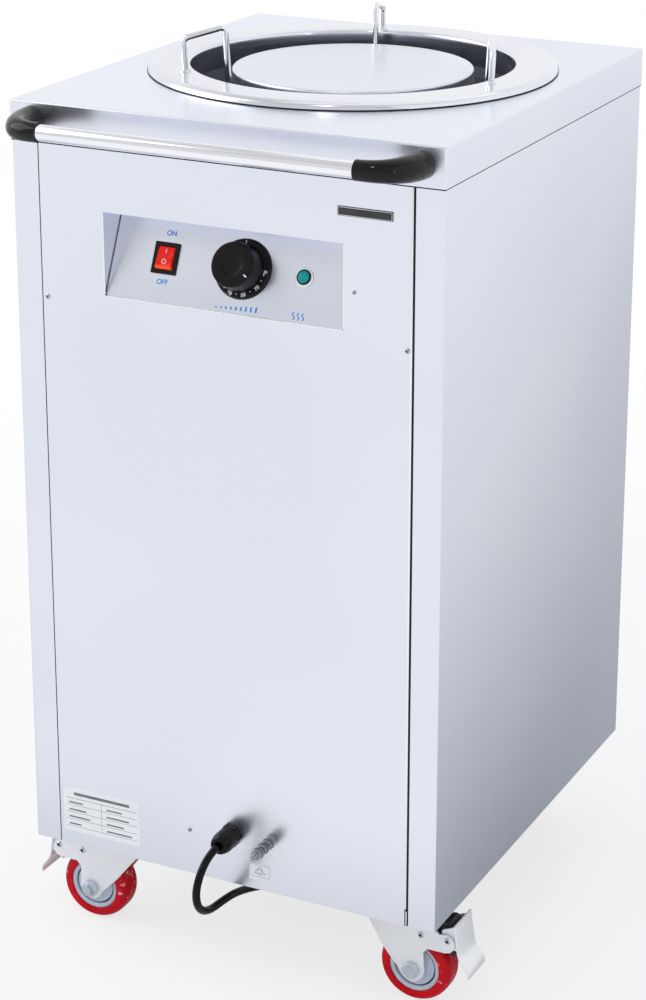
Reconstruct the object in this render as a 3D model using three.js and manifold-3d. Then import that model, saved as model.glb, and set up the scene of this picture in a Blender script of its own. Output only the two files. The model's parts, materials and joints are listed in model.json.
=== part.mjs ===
// Heated plate dispenser cart: a square stainless cabinet on four casters, with one sprung plate
// well under a ring in its top, a push handle, a sloping control recess and a mains cord.
// Millimetres, +Z up. The front faces -Y. The origin is on the floor below the middle of the cart.
import * as THREE from 'three';
import { mergeVertices } from 'three/addons/utils/BufferGeometryUtils.js';
import Module from 'manifold-3d';

const wasm = await Module();
wasm.setup();

// ---- Fits ----
const GAP = 0.3;                 // between pieces that seat on each other
const TURN_GAP = 0.5;            // between a turning piece and what it turns on
const CUT = 5;                   // how far a cutting tool runs past the face it cuts

// ---- Housing ----
const SHEET = 0.8;               // stainless sheet of the housing
const CAP_WIDTH = 450;
const CAP_DEPTH = 500;
const CAP_SKIRT = 38;            // height of the cap's folded edge
const CABINET_HEIGHT = 772.5;    // underside of the base to the top of the cap
const RETURN_WIDTH = 29;         // side panel folded round onto the front
const REAR_RETURN_WIDTH = 24;
const TAB_WIDTH = 16;            // stepped tab behind the front and back panels
const SEAM_LEFT = 1;             // gap beside the front panel
const SEAM_RIGHT = 2.2;
const SEAM_REAR = 1;
const BASE_SHEET = 1.5;
const BASE_FLANGE = 18;

// ---- Ring, well and carrier ----
const RING_SETBACK = 278;        // cap's front face to the middle of the well
const RING_R = 204;
const RING_LAND_R = 198;         // where the flat top of the flange ends
const RING_RISE = 7.5;           // flange top above the cap
const RING_RIM_LIFT = 1.4;       // rim's lowest point above the cap
const RING_SHEET = 1.5;
const THROAT_R = 161;            // inner face of the collar
const COLLAR_DEPTH = 18.5;       // collar below the cap's top
const THROAT_ROUND = 4;          // rolled edge from flange to collar
const WELL_WALL = 1;
const WELL_ROOM = 72;            // spider at its lowest to the underside of the well's floor
const SLOT_WIDTH = 16;
const SLOT_TOP = 52;             // below the cap's top
const SLOT_END = 12;             // slot below the spider at its lowest
const POST_COUNT = 3;            // rods, springs and arms
const POST_AZIMUTH = 45;         // first rod, degrees about the well
const ROD_R = 5;
const ROD_PITCH_R = 178;
const LUG_DEPTH = 12;            // height of a lug on the well
const LUG_DROP = 33;             // lug's underside below the cap's top
const LUG_MARGIN = 5;            // metal left round a hole
const DISC_R = 120.5;
const DISC_RISE = 1;             // disc's top above the cap's top
const DISC_SHEET = 1.2;
const DISC_RIM = 12;             // turned-down edge
const DISC_ROUND = 3;
const CARRIER_DROP = 200;        // disc down to the spider
const SPIDER_THICK = 8;
const SPIDER_R = 70;
const ARM_WIDTH = 12;
const LEG_R = 5;
const LEG_PITCH_R = 60;
const SLEEVE_R = 8.5;
const SLEEVE_LENGTH = 34;
const LIFT_TRAVEL = 340;
const SPRING_R = 6;
const SPRING_WIRE = 1.6;
const SPRING_OFFSET = 17;        // beside its rod
const HEATER_R = 100;
const HEATER_TUBE_R = 4;
const HEATER_LIFT = 16;          // above the well's floor
const HEATER_ARC = 320;          // degrees
const HEATER_TAIL = 30;          // cold end below the heater ring

// ---- Plate guides ----
const GUIDE_R = 3;
const GUIDE_PITCH_R = 173;
const GUIDE_AZIMUTH = -14.6;     // of the guide on the right
const GUIDE_LEAN = 3.2;          // degrees outwards
const GUIDE_SPAN = 42.4;         // between the two legs
const GUIDE_CREST = 6.9;         // bar's rise from the outer leg to the inner
const GUIDE_BEND = 6;
const GUIDE_REACH = 70;          // inner leg below the flange
const GUIDE_SEAT = 24;           // outer leg below the flange
const GUIDES = [
  { name: 'plate_guide_1', place: 0, height: 28.7, swing: -48.8 },
  { name: 'plate_guide_2', place: 1, height: 22.6, swing: 0 },
  { name: 'plate_guide_3', place: 2, height: 32.4, swing: -3 },
];
const BUSH_R = 5.2;
const BUSH_RISE = 1.6;           // above the flange
const BUSH_DEPTH = 18;           // below the flange

// ---- Control recess ----
const RECESS_LEFT = 98.5;        // from the cap's left edge
const RECESS_WIDTH = 252;
const RECESS_TOP = 99;           // below the cap's top
const RECESS_HEIGHT = 82;
const RECESS_TILT = 24.4;        // degrees from upright
const RECESS_FLANGE = 12;
const SWITCH_FROM_LEFT = 56.9;   // recess's left edge to the switch
const SWITCH_UP = 43.4;          // along the slope from its lower edge
const SWITCH_WIDTH = 26;
const SWITCH_HEIGHT = 30.4;
const SWITCH_FACE = 2;
const SWITCH_BODY_DEPTH = 20;
const ROCKER_WIDTH = 17.2;
const ROCKER_LENGTH = 21.6;
const ROCKER_TILT = 8;           // degrees, each way from level
const ROCKER_RISE = 2.2;
const KNOB_FROM_LEFT = 139.5;
const KNOB_UP = 43.2;
const KNOB_SKIRT_R = 29;
const KNOB_SKIRT_THICK = 4.5;
const KNOB_BASE_R = 23;
const KNOB_FACE_R = 21.5;
const KNOB_HEIGHT = 26;
const KNOB_EDGE = 1;
const KNOB_SKIRT_SLOPE = 1.5;
const KNOB_ROUND = 1.2;
const KNOB_DIMPLE_R = 11;
const KNOB_DIMPLE_DEPTH = 2;
const SPINDLE_R = 3;
const SPINDLE_LENGTH = 20;
const THERMOSTAT_WIDTH = 36;
const THERMOSTAT_DEPTH = 22;
const LAMP_FROM_LEFT = 202.5;
const LAMP_UP = 43.4;
const LAMP_R = 7.2;
const LAMP_BEZEL_R = 9.2;
const LAMP_BEZEL_THICK = 2;
const LAMP_WALL = 1;
const LAMP_BEZEL_EDGE = 1.2;     // height where the bezel's slope starts
const LAMP_BEZEL_LIP = 0.6;
const LAMP_SHOULDER = [0.66, 1.9];   // share of the lens's radius, rise
const LAMP_DOME = 2.55;
const LAMP_BODY_DEPTH = 16;

// ---- Cord entry and earth stud ----
const ENTRY_DROP = 719;          // below the cap's top
const GLAND_X = 3.5;
const GLAND_REACH = 28.5;        // from the front panel
const GLAND_THREAD_R = 7.5;
const GLAND_HEX = 21;            // across flats
const GLAND_HEX_THICK = 6;
const GLAND_NUT_R = 11;
const GLAND_MOUTH_R = 7;
const GLAND_RECESS = 5;          // cord enters this far inside the mouth
const LOCKNUT_THICK = 4;
const STUD_X = 44.7;
const STUD_R = 3;
const STUD_REACH = 33;
const STUD_TAIL = 10;
const NUT_FLATS = 10;
const NUT_THICK = 5;
const WASHER_R = 6.2;
const WASHER_THICK = 1.4;
const STUD_NUT_AT = 9;           // outer nut from the panel
const TERMINAL_BOX = [70, 46, 44];
const TERMINAL_BOX_BACK = 40;    // behind the front panel

// ---- Handle ----
const BAR_R = 8;
const BAR_LENGTH = 323;          // seen between the elbows
const BAR_REACH = 50;            // from the cap's front face
const BAR_DROP = 16;             // below the cap's top
const BAR_SOCKET = 10;           // bar inside each elbow
const ELBOW_R = 9.5;
const ELBOW_FOOT_R = 13.5;
const ELBOW_FOOT_IN = 24;        // foot's centre from the cap's side
const ELBOW_FOOT_DROP = 18;
const ELBOW_SQUARENESS = 2.5;

// ---- Casters ----
const WHEEL_R = 38;
const TYRE_WIDTH = 31;
const TREAD_FLAT = 14;
const TREAD_EDGE_R = 34.5;
const TREAD_CROWN = 0.7;         // tread's bulge past a straight slope
const HUB_R = 26.7;
const HUB_RIM = 27;              // width of the hub's rim
const HUB_RIM_THICK = 4.2;
const HUB_WEB = 14;
const HUB_DRAFT = 1;
const HUB_BOSS_R = 9.5;
const AXLE_R = 5;
const AXLE_HEAD_FLATS = 16;
const AXLE_HEAD_THICK = 5;
const AXLE_NUT_THICK = 8;
const AXLE_END = 2;              // bolt past its nut
const FORK_WIDTH = 40;
const FORK_SHEET = 2.5;
const FORK_TOP = 90;             // above the floor
const FORK_CROWN = 3.5;
const FORK_EDGE = [[-24, 0], [-21, 10], [0, 37]];   // front edge: out from the swivel axis, below the top
const FORK_LOBE_R = 13;
const FORK_NECK_IN = 1;          // rear edge inside the lobe
const FORK_REAR_CUT = [4, 6];    // corner cut off behind the wheel, along and down
const CROWN_IN = 6;              // crown's rear edge inside the lobe
const TRAIL = 30;                // axle from the swivel axis
const TAIL_R = 10;
const TAIL_REACH = 65.5;         // swivel axis to the middle of the tail's round end
const TAIL_HEIGHT = 75;
const TAIL_FILLET = 5;
const TAIL_SHOULDER = [7, 1];    // back from the tail's middle, below its top
const TAIL_HEEL = 13;            // back from the tail's middle, at the fork's top
const CASTER_HEIGHT = 107.2;
const CASTER_PLATE = [92, 68, 3];
const RACE_R = 24;
const RACE_EDGE = 4;             // height of the race's cone
const RACE_LIP = 3;              // the cone's foot inside its edge
const KINGPIN_R = 6;
const KINGPIN_HEAD_R = 9;
const KINGPIN_HEAD_THICK = 3;
const FRONT_CASTER_IN = 57.8;    // swivel axis from the cap's front face
const REAR_CASTER_IN = 57.8;     // swivel axis from the cap's back face
const CASTER_SIDE_IN = 71;       // swivel axis from the cap's side
const PEDAL_SHEET = 2;
const PEDAL_PIVOT = [68, 79];    // out from the swivel axis, above the floor
const PEDAL_ARM_GAP = 0.6;
const PEDAL_ARM = [[-8, 9], [-6, -9]];   // arm's inner corners, from the pivot
const PEDAL_ARM_LAP = 0.5;       // arm sunk into the face
const PEDAL_ARM_ENDS = [4, -2];  // arm's outer corners, from the face's bend and its top
const PEDAL_PIN_HEAD = 2;
const PEDAL_FACE = [[74, 96], [78, 64], [89.5, 50], [89.5, 42]];
const PEDAL_PIN_R = 3;
const BRAKE_BLOCK = [[50, 74.3], [58, 67.5], [64, 66], [70, 72], [71, 88], [66, 95], [56, 93], [50, 84]];
const BRAKE_BLOCK_WIDTH = 22;

// ---- Cord ----
const CORD_R = 4;
const COIL_TURNS = 5;
const COIL_INNER_R = 32.5;
const COIL_STEP = 8.9;           // between neighbouring turns, and between the two layers
const COIL_X = 46.3;
const COIL_Y = 120;
const COIL_TAIL = 44;            // straight from the coil's top layer to the plug
const FLOOR_LIFT = 0.2;
const PLUG_R = 12.4;
const PLUG_LENGTH = 46;
const PLUG_NECK_WALL = 2.2;      // round the cord
const PLUG_NECK_SWELL = 1.5;
const PLUG_TAPER = [12, 22];     // from the neck's end to the full body, along the plug
const PIN_R = 2.4;
const PIN_LENGTH = 19;
const PIN_SPACING = 17.1;

// ---- Facets ----
const RING_SIDES = 40;
const KNOB_SIDES = 24;
const WHEEL_SIDES = 28;
const HUB_SIDES = 16;
const SMALL_SIDES = 14;
const ROD_SIDES = 10;

// ---- Worked-out places ----
const BASE_Z = CASTER_HEIGHT + GAP;
const CAP_Z = BASE_Z + CABINET_HEIGHT;
const HANDLE_REACH = BAR_REACH + ELBOW_R;
const CAP_FRONT = -(CAP_DEPTH - HANDLE_REACH) / 2;
const CAP_BACK = CAP_FRONT + CAP_DEPTH;
const BODY_INSET = SHEET + GAP;
const BODY_LEFT = -CAP_WIDTH / 2 + BODY_INSET;
const BODY_RIGHT = -BODY_LEFT;
const BODY_FRONT = CAP_FRONT + BODY_INSET;
const BODY_BACK = CAP_BACK - BODY_INSET;
const BODY_TOP = CAP_Z - BODY_INSET;
const BODY_HEIGHT = BODY_TOP - BASE_Z;
const WELL_Y = CAP_FRONT + RING_SETBACK;
const COLLAR_R = THROAT_R + RING_SHEET;
const WELL_R = COLLAR_R + TURN_GAP + WELL_WALL;
const WELL_TOP = CAP_Z - BODY_INSET;
const RING_TOP = CAP_Z + RING_RISE;
const DISC_TOP = CAP_Z + DISC_RISE;
const SPIDER_TOP = DISC_TOP - CARRIER_DROP;
const SPIDER_LOWEST = SPIDER_TOP - SPIDER_THICK - LIFT_TRAVEL;
const WELL_FLOOR = SPIDER_LOWEST - WELL_ROOM;
const ENTRY_Z = CAP_Z - ENTRY_DROP;
const PAN_FACE = BODY_FRONT + SHEET + GAP;
const RECESS_X = RECESS_LEFT - CAP_WIDTH / 2;
const RECESS_FLOOR = CAP_Z - RECESS_TOP - RECESS_HEIGHT;
const TILT = THREE.MathUtils.degToRad(RECESS_TILT);

// ---- Materials ----
const paint = (color, roughness, metalness) =>
  () => new THREE.MeshStandardMaterial({ color, roughness, metalness });
const steel = paint(0xc9cdd6, 0.34, 1);
const wellSteel = paint(0x8b8f96, 0.45, 1);
const polished = paint(0xe2e5ea, 0.14, 1);
const zinc = paint(0xd3d6da, 0.38, 0.9);
const spring = paint(0x9a9da3, 0.35, 1);
const blackGloss = paint(0x0b0b0c, 0.16, 0);
const blackMatte = paint(0x17181a, 0.5, 0);
const cordRubber = paint(0x0c0c0d, 0.28, 0);
const redTyre = paint(0xc4142b, 0.25, 0);
const greyHub = paint(0x9aa3b0, 0.42, 0.1);
const redRocker = paint(0xe01a12, 0.22, 0);
const tealLens = paint(0x1f8f83, 0.18, 0);
const heaterSteel = paint(0x55585c, 0.5, 0.9);
const boxPlastic = paint(0xdadcd8, 0.5, 0);

// ---- Solids ----

// A geometry with merged corners, no flat triangles and its faces pointing out.
function closed(geometry) {
  const bare = geometry.clone();
  bare.deleteAttribute('normal');
  bare.deleteAttribute('uv');
  const merged = mergeVertices(bare, 1e-4);
  const place = merged.attributes.position;
  const corners = [new THREE.Vector3(), new THREE.Vector3(), new THREE.Vector3()];
  const kept = [];
  let volume = 0;
  for (let i = 0; i < merged.index.count; i += 3) {
    const face = [0, 1, 2].map((k) => merged.index.getX(i + k));
    if (new Set(face).size < 3) continue;
    kept.push(...face);
    face.forEach((index, k) => corners[k].fromBufferAttribute(place, index));
    volume += corners[0].dot(corners[1].clone().cross(corners[2]));
  }
  if (volume < 0) kept.reverse();
  merged.setIndex(kept);
  return merged;
}

function solid(geometry) {
  const shape = closed(geometry);
  return new wasm.Manifold(new wasm.Mesh({
    numProp: 3,
    vertProperties: new Float32Array(shape.attributes.position.array),
    triVerts: new Uint32Array(shape.index.array),
  }));
}

function surface(body) {
  const { vertProperties, triVerts } = body.getMesh();
  const geometry = new THREE.BufferGeometry();
  geometry.setAttribute('position', new THREE.BufferAttribute(vertProperties, 3));
  geometry.setIndex(new THREE.BufferAttribute(triVerts, 1));
  return geometry;
}

const joined = (solids) => solids.reduce((all, one) => all.add(one));
const cutBy = (body, tools) => tools.reduce((left, tool) => left.subtract(tool), body);

// A box between two corners.
function block(low, high) {
  const size = low.map((value, i) => high[i] - value);
  const middle = low.map((value, i) => (high[i] + value) / 2);
  return new THREE.BoxGeometry(...size).translate(...middle);
}

// A closed profile of [radius, height] points turned about +Z. The first facet faces -Y.
function turned(profile, sides) {
  const points = [...profile, profile[0]].map(([r, h]) => new THREE.Vector2(r, h));
  return new THREE.LatheGeometry(points, sides, Math.PI / sides).rotateX(Math.PI / 2);
}

const rod = (radius, low, high, sides = ROD_SIDES) =>
  turned([[0, low], [radius, low], [radius, high], [0, high]], sides);

const hexagon = (flats, low, high) => rod(flats / Math.sqrt(3), low, high, 6);

// A flat outline of [x, y] points given a height along +Z from 0.
function prism(outline, height, holes = []) {
  const shape = new THREE.Shape(outline.map(([x, y]) => new THREE.Vector2(x, y)));
  shape.holes = holes.map((hole) => new THREE.Path(hole.map(([x, y]) => new THREE.Vector2(x, y))));
  return new THREE.ExtrudeGeometry(shape, { depth: height, bevelEnabled: false });
}

// Points on an arc, in degrees.
function arc([x, y], radius, from, to, steps) {
  return Array.from({ length: steps + 1 }, (_, i) => {
    const angle = THREE.MathUtils.degToRad(from + (to - from) * i / steps);
    return [x + radius * Math.cos(angle), y + radius * Math.sin(angle)];
  });
}

// A round tube along a list of points, with flat ends. radiusAt(share of the run) gives its size.
function sweep(points, radiusAt, sides, startNormal) {
  const last = points.length - 1;
  const positions = [];
  const faces = [];
  const side = startNormal.clone();
  points.forEach((point, i) => {
    const ahead = points[Math.min(i + 1, last)].clone().sub(points[Math.max(i - 1, 0)]).normalize();
    side.addScaledVector(ahead, -side.dot(ahead)).normalize();
    const over = ahead.clone().cross(side);
    for (let k = 0; k < sides; k += 1) {
      const angle = 2 * Math.PI * k / sides;
      const radius = radiusAt(i / last);
      const corner = point.clone()
        .addScaledVector(side, radius * Math.cos(angle))
        .addScaledVector(over, radius * Math.sin(angle));
      positions.push(corner.x, corner.y, corner.z);
      if (i === last) continue;
      const a = i * sides + k;
      const b = i * sides + (k + 1) % sides;
      faces.push(a, b, b + sides, a, b + sides, a + sides);
    }
  });
  for (let k = 1; k < sides - 1; k += 1) {
    faces.push(0, k + 1, k);
    faces.push(last * sides, last * sides + k, last * sides + k + 1);
  }
  const geometry = new THREE.BufferGeometry();
  geometry.setAttribute('position', new THREE.Float32BufferAttribute(positions, 3));
  geometry.setIndex(faces);
  return geometry;
}

// One named piece of the cart.
function piece(name, geometry, material, parent) {
  const shape = closed(geometry);
  shape.computeVertexNormals();
  const mesh = new THREE.Mesh(shape, material());
  mesh.name = name;
  parent.add(mesh);
  return mesh;
}

function group(parent, [x, y, z] = [0, 0, 0]) {
  const child = new THREE.Group();
  child.position.set(x, y, z);
  parent.add(child);
  return child;
}

const cart = new THREE.Group();

// ---- Housing ----

// A guide's turning axis: the bush and the guide share this placing.
function atGuide(place, thing) {
  const azimuth = THREE.MathUtils.degToRad(GUIDE_AZIMUTH + 120 * place);
  return thing
    .rotateY(THREE.MathUtils.degToRad(GUIDE_LEAN))
    .translate(GUIDE_PITCH_R, 0, RING_TOP)
    .rotateZ(azimuth)
    .translate(0, WELL_Y, 0);
}

// The cap is a tray turned upside down, with a round mouth and a hole for each guide's bush.
function topCover() {
  const half = CAP_WIDTH / 2;
  const shell = solid(block([-half, CAP_FRONT, CAP_Z - CAP_SKIRT], [half, CAP_BACK, CAP_Z]));
  const inside = solid(block(
    [-half + SHEET, CAP_FRONT + SHEET, CAP_Z - CAP_SKIRT - CUT],
    [half - SHEET, CAP_BACK - SHEET, CAP_Z - SHEET],
  ));
  const mouth = solid(rod(COLLAR_R + TURN_GAP, CAP_Z - CUT, CAP_Z + CUT, RING_SIDES)
    .translate(0, WELL_Y, 0));
  const bushes = GUIDES.map(({ place }) =>
    solid(atGuide(place, rod(BUSH_R + TURN_GAP, -BUSH_DEPTH, 0))));
  return surface(cutBy(shell, [inside, mouth, ...bushes]));
}

// Side panel in plan: the wall, its fold round the front, a step back by one sheet, and a tab
// behind the front panel; the back edge is the same. Drawn for the left side.
function sidePanel() {
  const wall = BODY_LEFT;
  const step = SHEET + GAP;
  const front = wall + RETURN_WIDTH - BODY_INSET;
  const rear = wall + REAR_RETURN_WIDTH;
  const f = BODY_FRONT;
  const b = BODY_BACK;
  return prism([
    [wall, f], [front, f], [front, f + step], [front + TAB_WIDTH, f + step],
    [front + TAB_WIDTH, f + step + SHEET], [front - SHEET, f + step + SHEET],
    [front - SHEET, f + SHEET], [wall + SHEET, f + SHEET],
    [wall + SHEET, b - SHEET], [rear - SHEET, b - SHEET],
    [rear - SHEET, b - step - SHEET], [rear + TAB_WIDTH, b - step - SHEET],
    [rear + TAB_WIDTH, b - step], [rear, b - step], [rear, b], [wall, b],
  ], BODY_HEIGHT).translate(0, 0, BASE_Z);
}

function frontPanel() {
  const left = BODY_LEFT + RETURN_WIDTH - BODY_INSET + SEAM_LEFT;
  const right = BODY_RIGHT - RETURN_WIDTH + BODY_INSET - SEAM_RIGHT;
  const sheet = solid(block([left, BODY_FRONT, BASE_Z], [right, BODY_FRONT + SHEET, BODY_TOP]));
  const recess = solid(block(
    [RECESS_X, BODY_FRONT - CUT, RECESS_FLOOR],
    [RECESS_X + RECESS_WIDTH, BODY_FRONT + CUT, RECESS_FLOOR + RECESS_HEIGHT],
  ));
  const gland = solid(alongY(rod(GLAND_THREAD_R + GAP, -CUT, CUT, SMALL_SIDES), GLAND_X));
  const stud = solid(alongY(rod(STUD_R + GAP, -CUT, CUT), STUD_X));
  return surface(cutBy(sheet, [recess, gland, stud]));
}

function backPanel() {
  const left = BODY_LEFT + REAR_RETURN_WIDTH + SEAM_REAR;
  return block([left, BODY_BACK - SHEET, BASE_Z], [-left, BODY_BACK, BODY_TOP]);
}

// The base is a tray whose edges stand up inside the side walls and behind the stepped tabs.
function basePanel() {
  const side = BODY_RIGHT - SHEET - GAP;
  const front = BODY_FRONT + 2 * (SHEET + GAP);
  const back = BODY_BACK - 2 * (SHEET + GAP);
  const tray = solid(block([-side, front, BASE_Z], [side, back, BASE_Z + BASE_FLANGE]));
  const inside = solid(block(
    [-side + BASE_SHEET, front + BASE_SHEET, BASE_Z + BASE_SHEET],
    [side - BASE_SHEET, back - BASE_SHEET, BASE_Z + BASE_FLANGE + CUT],
  ));
  return surface(tray.subtract(inside));
}

// ---- Control recess ----

// The recess's cross-section in [y, z], grown by the sheet behind its slope and above its roof.
function recessSection(grow) {
  const top = RECESS_FLOOR + RECESS_HEIGHT + grow;
  const back = grow / Math.cos(TILT);
  const low = grow ? RECESS_FLOOR : RECESS_FLOOR - CUT / Math.tan(TILT);
  const slopeAt = (z) => PAN_FACE + (z - RECESS_FLOOR) * Math.tan(TILT) + back;
  const face = grow ? PAN_FACE : PAN_FACE - CUT;
  return [[face, low], [slopeAt(low), low], [slopeAt(top), top], [face, top]];
}

// A [y, z] section given a width from x = low to x = high.
function acrossX(section, low, high) {
  return prism(section, high - low)
    .rotateX(Math.PI / 2)
    .rotateZ(Math.PI / 2)
    .translate(low, 0, 0);
}

// From slope coordinates (across, up the slope, out of it) to the cart's.
function onSlope(thing, fromLeft, up) {
  return thing
    .translate(RECESS_X + fromLeft, up, 0)
    .rotateX(Math.PI / 2 - TILT)
    .translate(0, PAN_FACE, RECESS_FLOOR);
}

function controlPan() {
  const right = RECESS_X + RECESS_WIDTH;
  const outer = solid(acrossX(recessSection(SHEET), RECESS_X - SHEET, right + SHEET));
  const inner = solid(acrossX(recessSection(0), RECESS_X, right));
  const flange = solid(block(
    [RECESS_X - RECESS_FLANGE, PAN_FACE, RECESS_FLOOR - RECESS_FLANGE],
    [right + RECESS_FLANGE, PAN_FACE + SHEET, RECESS_FLOOR + RECESS_HEIGHT + RECESS_FLANGE],
  ));
  const bodyX = SWITCH_WIDTH / 2 - SWITCH_FACE + GAP;
  const bodyY = SWITCH_HEIGHT / 2 - SWITCH_FACE + GAP;
  const switchHole = block([-bodyX, -bodyY, -CUT], [bodyX, bodyY, CUT]);
  const spindleHole = rod(SPINDLE_R + TURN_GAP, -CUT, CUT);
  const lampHole = rod(LAMP_R + GAP, -CUT, CUT, SMALL_SIDES);
  return surface(cutBy(outer.add(flange), [
    inner,
    solid(onSlope(switchHole, SWITCH_FROM_LEFT, SWITCH_UP)),
    solid(onSlope(spindleHole, KNOB_FROM_LEFT, KNOB_UP)),
    solid(onSlope(lampHole, LAMP_FROM_LEFT, LAMP_UP)),
  ]));
}

// The bezel's flange rests on the slope; its body passes through and is hollow for the rocker.
function switchBezel() {
  const faceX = SWITCH_WIDTH / 2;
  const faceY = SWITCH_HEIGHT / 2;
  const bodyX = faceX - SWITCH_FACE;
  const bodyY = faceY - SWITCH_FACE;
  const pocketX = ROCKER_WIDTH / 2 + GAP;
  const pocketY = ROCKER_LENGTH / 2 + TURN_GAP;
  const flange = block([-faceX, -faceY, GAP], [faceX, faceY, GAP + SWITCH_FACE]);
  const body = block([-bodyX, -bodyY, -SWITCH_BODY_DEPTH], [bodyX, bodyY, GAP + SWITCH_FACE / 2]);
  const pocket = block(
    [-pocketX, -pocketY, -SWITCH_BODY_DEPTH + SWITCH_FACE],
    [pocketX, pocketY, CUT],
  );
  return surface(solid(flange).add(solid(body)).subtract(solid(pocket)));
}

// Rocker in its resting tilt: two faces that meet in a shallow ridge, with ends rounded about the
// pivot so that they clear the bezel, and an arc underneath.
function switchRocker() {
  const end = ROCKER_LENGTH / 2;
  const rise = Math.tan(THREE.MathUtils.degToRad(ROCKER_TILT)) * end;
  const pivot = SWITCH_FACE / 2;
  const ridge = pivot + ROCKER_RISE;
  const endAt = (height) => Math.sqrt(end ** 2 - (height - pivot) ** 2);
  const low = ridge - rise;
  const high = ridge + rise;
  const under = arc([0, pivot], end, 205, 335, 5);
  const section = [[endAt(low), low], [0, ridge], [-endAt(high), high], ...under];
  return acrossX(section, -ROCKER_WIDTH / 2, ROCKER_WIDTH / 2);
}

function thermostat() {
  const half = THERMOSTAT_WIDTH / 2;
  const under = -SHEET - GAP;
  const body = solid(block([-half, -half, under - THERMOSTAT_DEPTH], [half, half, under]));
  return surface(body.subtract(solid(rod(SPINDLE_R + GAP, under - THERMOSTAT_DEPTH / 2, CUT))));
}

const spindle = () =>
  rod(SPINDLE_R, -SHEET - GAP - THERMOSTAT_DEPTH / 2 + GAP, SPINDLE_LENGTH);

function knob() {
  const low = GAP;
  const skirt = low + KNOB_SKIRT_THICK;
  const socket = SPINDLE_R + GAP;
  const socketTop = SPINDLE_LENGTH + GAP;
  return turned([
    [socket, low], [KNOB_SKIRT_R - KNOB_EDGE, low], [KNOB_SKIRT_R, low + KNOB_EDGE],
    [KNOB_SKIRT_R - KNOB_SKIRT_SLOPE, skirt], [KNOB_BASE_R, skirt],
    [KNOB_FACE_R, KNOB_HEIGHT - KNOB_ROUND], [KNOB_FACE_R - KNOB_ROUND, KNOB_HEIGHT],
    [KNOB_DIMPLE_R, KNOB_HEIGHT], [KNOB_DIMPLE_R - KNOB_EDGE, KNOB_HEIGHT - KNOB_DIMPLE_DEPTH],
    [0, KNOB_HEIGHT - KNOB_DIMPLE_DEPTH], [0, socketTop], [socket, socketTop],
  ], KNOB_SIDES);
}

function lampBezel() {
  const bore = LAMP_R - LAMP_WALL;
  return turned([
    [bore, -LAMP_BODY_DEPTH], [LAMP_R, -LAMP_BODY_DEPTH], [LAMP_R, GAP], [LAMP_BEZEL_R, GAP],
    [LAMP_BEZEL_R, GAP + LAMP_BEZEL_EDGE], [LAMP_R + LAMP_BEZEL_LIP, GAP + LAMP_BEZEL_THICK],
    [bore, GAP + LAMP_BEZEL_THICK],
  ], SMALL_SIDES);
}

function lampLens() {
  const r = LAMP_R - LAMP_WALL - GAP;
  const top = GAP + LAMP_BEZEL_THICK;
  const [shoulder, rise] = LAMP_SHOULDER;
  return turned([
    [0, -LAMP_BODY_DEPTH], [r, -LAMP_BODY_DEPTH], [r, top],
    [r * shoulder, top + rise], [0, top + LAMP_DOME],
  ], SMALL_SIDES);
}

// ---- Ring and plate guides ----

// Spun ring: rim, flat flange, rolled throat and collar, one sheet thick, with three bushes.
function topRing() {
  const top = RING_TOP;
  const under = RING_TOP - RING_SHEET;
  const rimZ = CAP_Z + RING_RIM_LIFT;
  const bend = arc([THROAT_R + THROAT_ROUND, top - THROAT_ROUND], THROAT_ROUND, 90, 180, 2);
  const ring = solid(turned([
    [RING_LAND_R, top], ...bend, [THROAT_R, CAP_Z - COLLAR_DEPTH], [COLLAR_R, CAP_Z - COLLAR_DEPTH],
    [COLLAR_R, under - RING_SHEET], [THROAT_R + THROAT_ROUND, under], [RING_LAND_R, under],
    [RING_R - RING_SHEET, CAP_Z + GAP], [RING_R - 0.4, CAP_Z + GAP], [RING_R, rimZ],
    [RING_R - 1.8, top - 2.4],
  ], RING_SIDES).translate(0, WELL_Y, 0));
  const bushes = GUIDES.map(({ place }) => solid(atGuide(place, rod(BUSH_R, -BUSH_DEPTH, BUSH_RISE))));
  const bores = GUIDES.map(({ place }) =>
    solid(atGuide(place, rod(GUIDE_R + GAP, -BUSH_DEPTH - CUT, BUSH_RISE + CUT))));
  return surface(cutBy(joined([ring, ...bushes]), bores));
}

// Bent rod: up the outer leg, over the sloping bar and down the inner leg into the well.
function plateGuide(height) {
  const up = new THREE.Vector3(0, 0, 1);
  const over = new THREE.Vector3(GUIDE_SPAN, 0, GUIDE_CREST).normalize();
  const outer = new THREE.Vector3(0, 0, height);
  const inner = new THREE.Vector3(GUIDE_SPAN, 0, height + GUIDE_CREST);
  const bend = (corner, into, away) => new THREE.QuadraticBezierCurve3(
    corner.clone().addScaledVector(into, -GUIDE_BEND),
    corner,
    corner.clone().addScaledVector(away, GUIDE_BEND),
  ).getPoints(5);
  const run = [
    new THREE.Vector3(0, 0, -GUIDE_SEAT),
    ...bend(outer, up, over),
    ...bend(inner, over, up.clone().negate()),
    new THREE.Vector3(GUIDE_SPAN, 0, -GUIDE_REACH),
  ];
  return sweep(run, () => GUIDE_R, 8, new THREE.Vector3(0, 1, 0));
}

// ---- Well, carrier, rods and springs ----

const postAzimuths = Array.from({ length: POST_COUNT }, (_, i) => POST_AZIMUTH + 360 * i / POST_COUNT);
const rodHoleR = ROD_R + TURN_GAP;
const slotFloor = SPIDER_LOWEST - SLOT_END;
const lugUnder = CAP_Z - LUG_DROP;

// Turn something drawn out along +X from the well's middle to one rod's azimuth.
const atPost = (azimuth, thing) =>
  thing.rotateZ(THREE.MathUtils.degToRad(azimuth)).translate(0, WELL_Y, 0);

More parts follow.
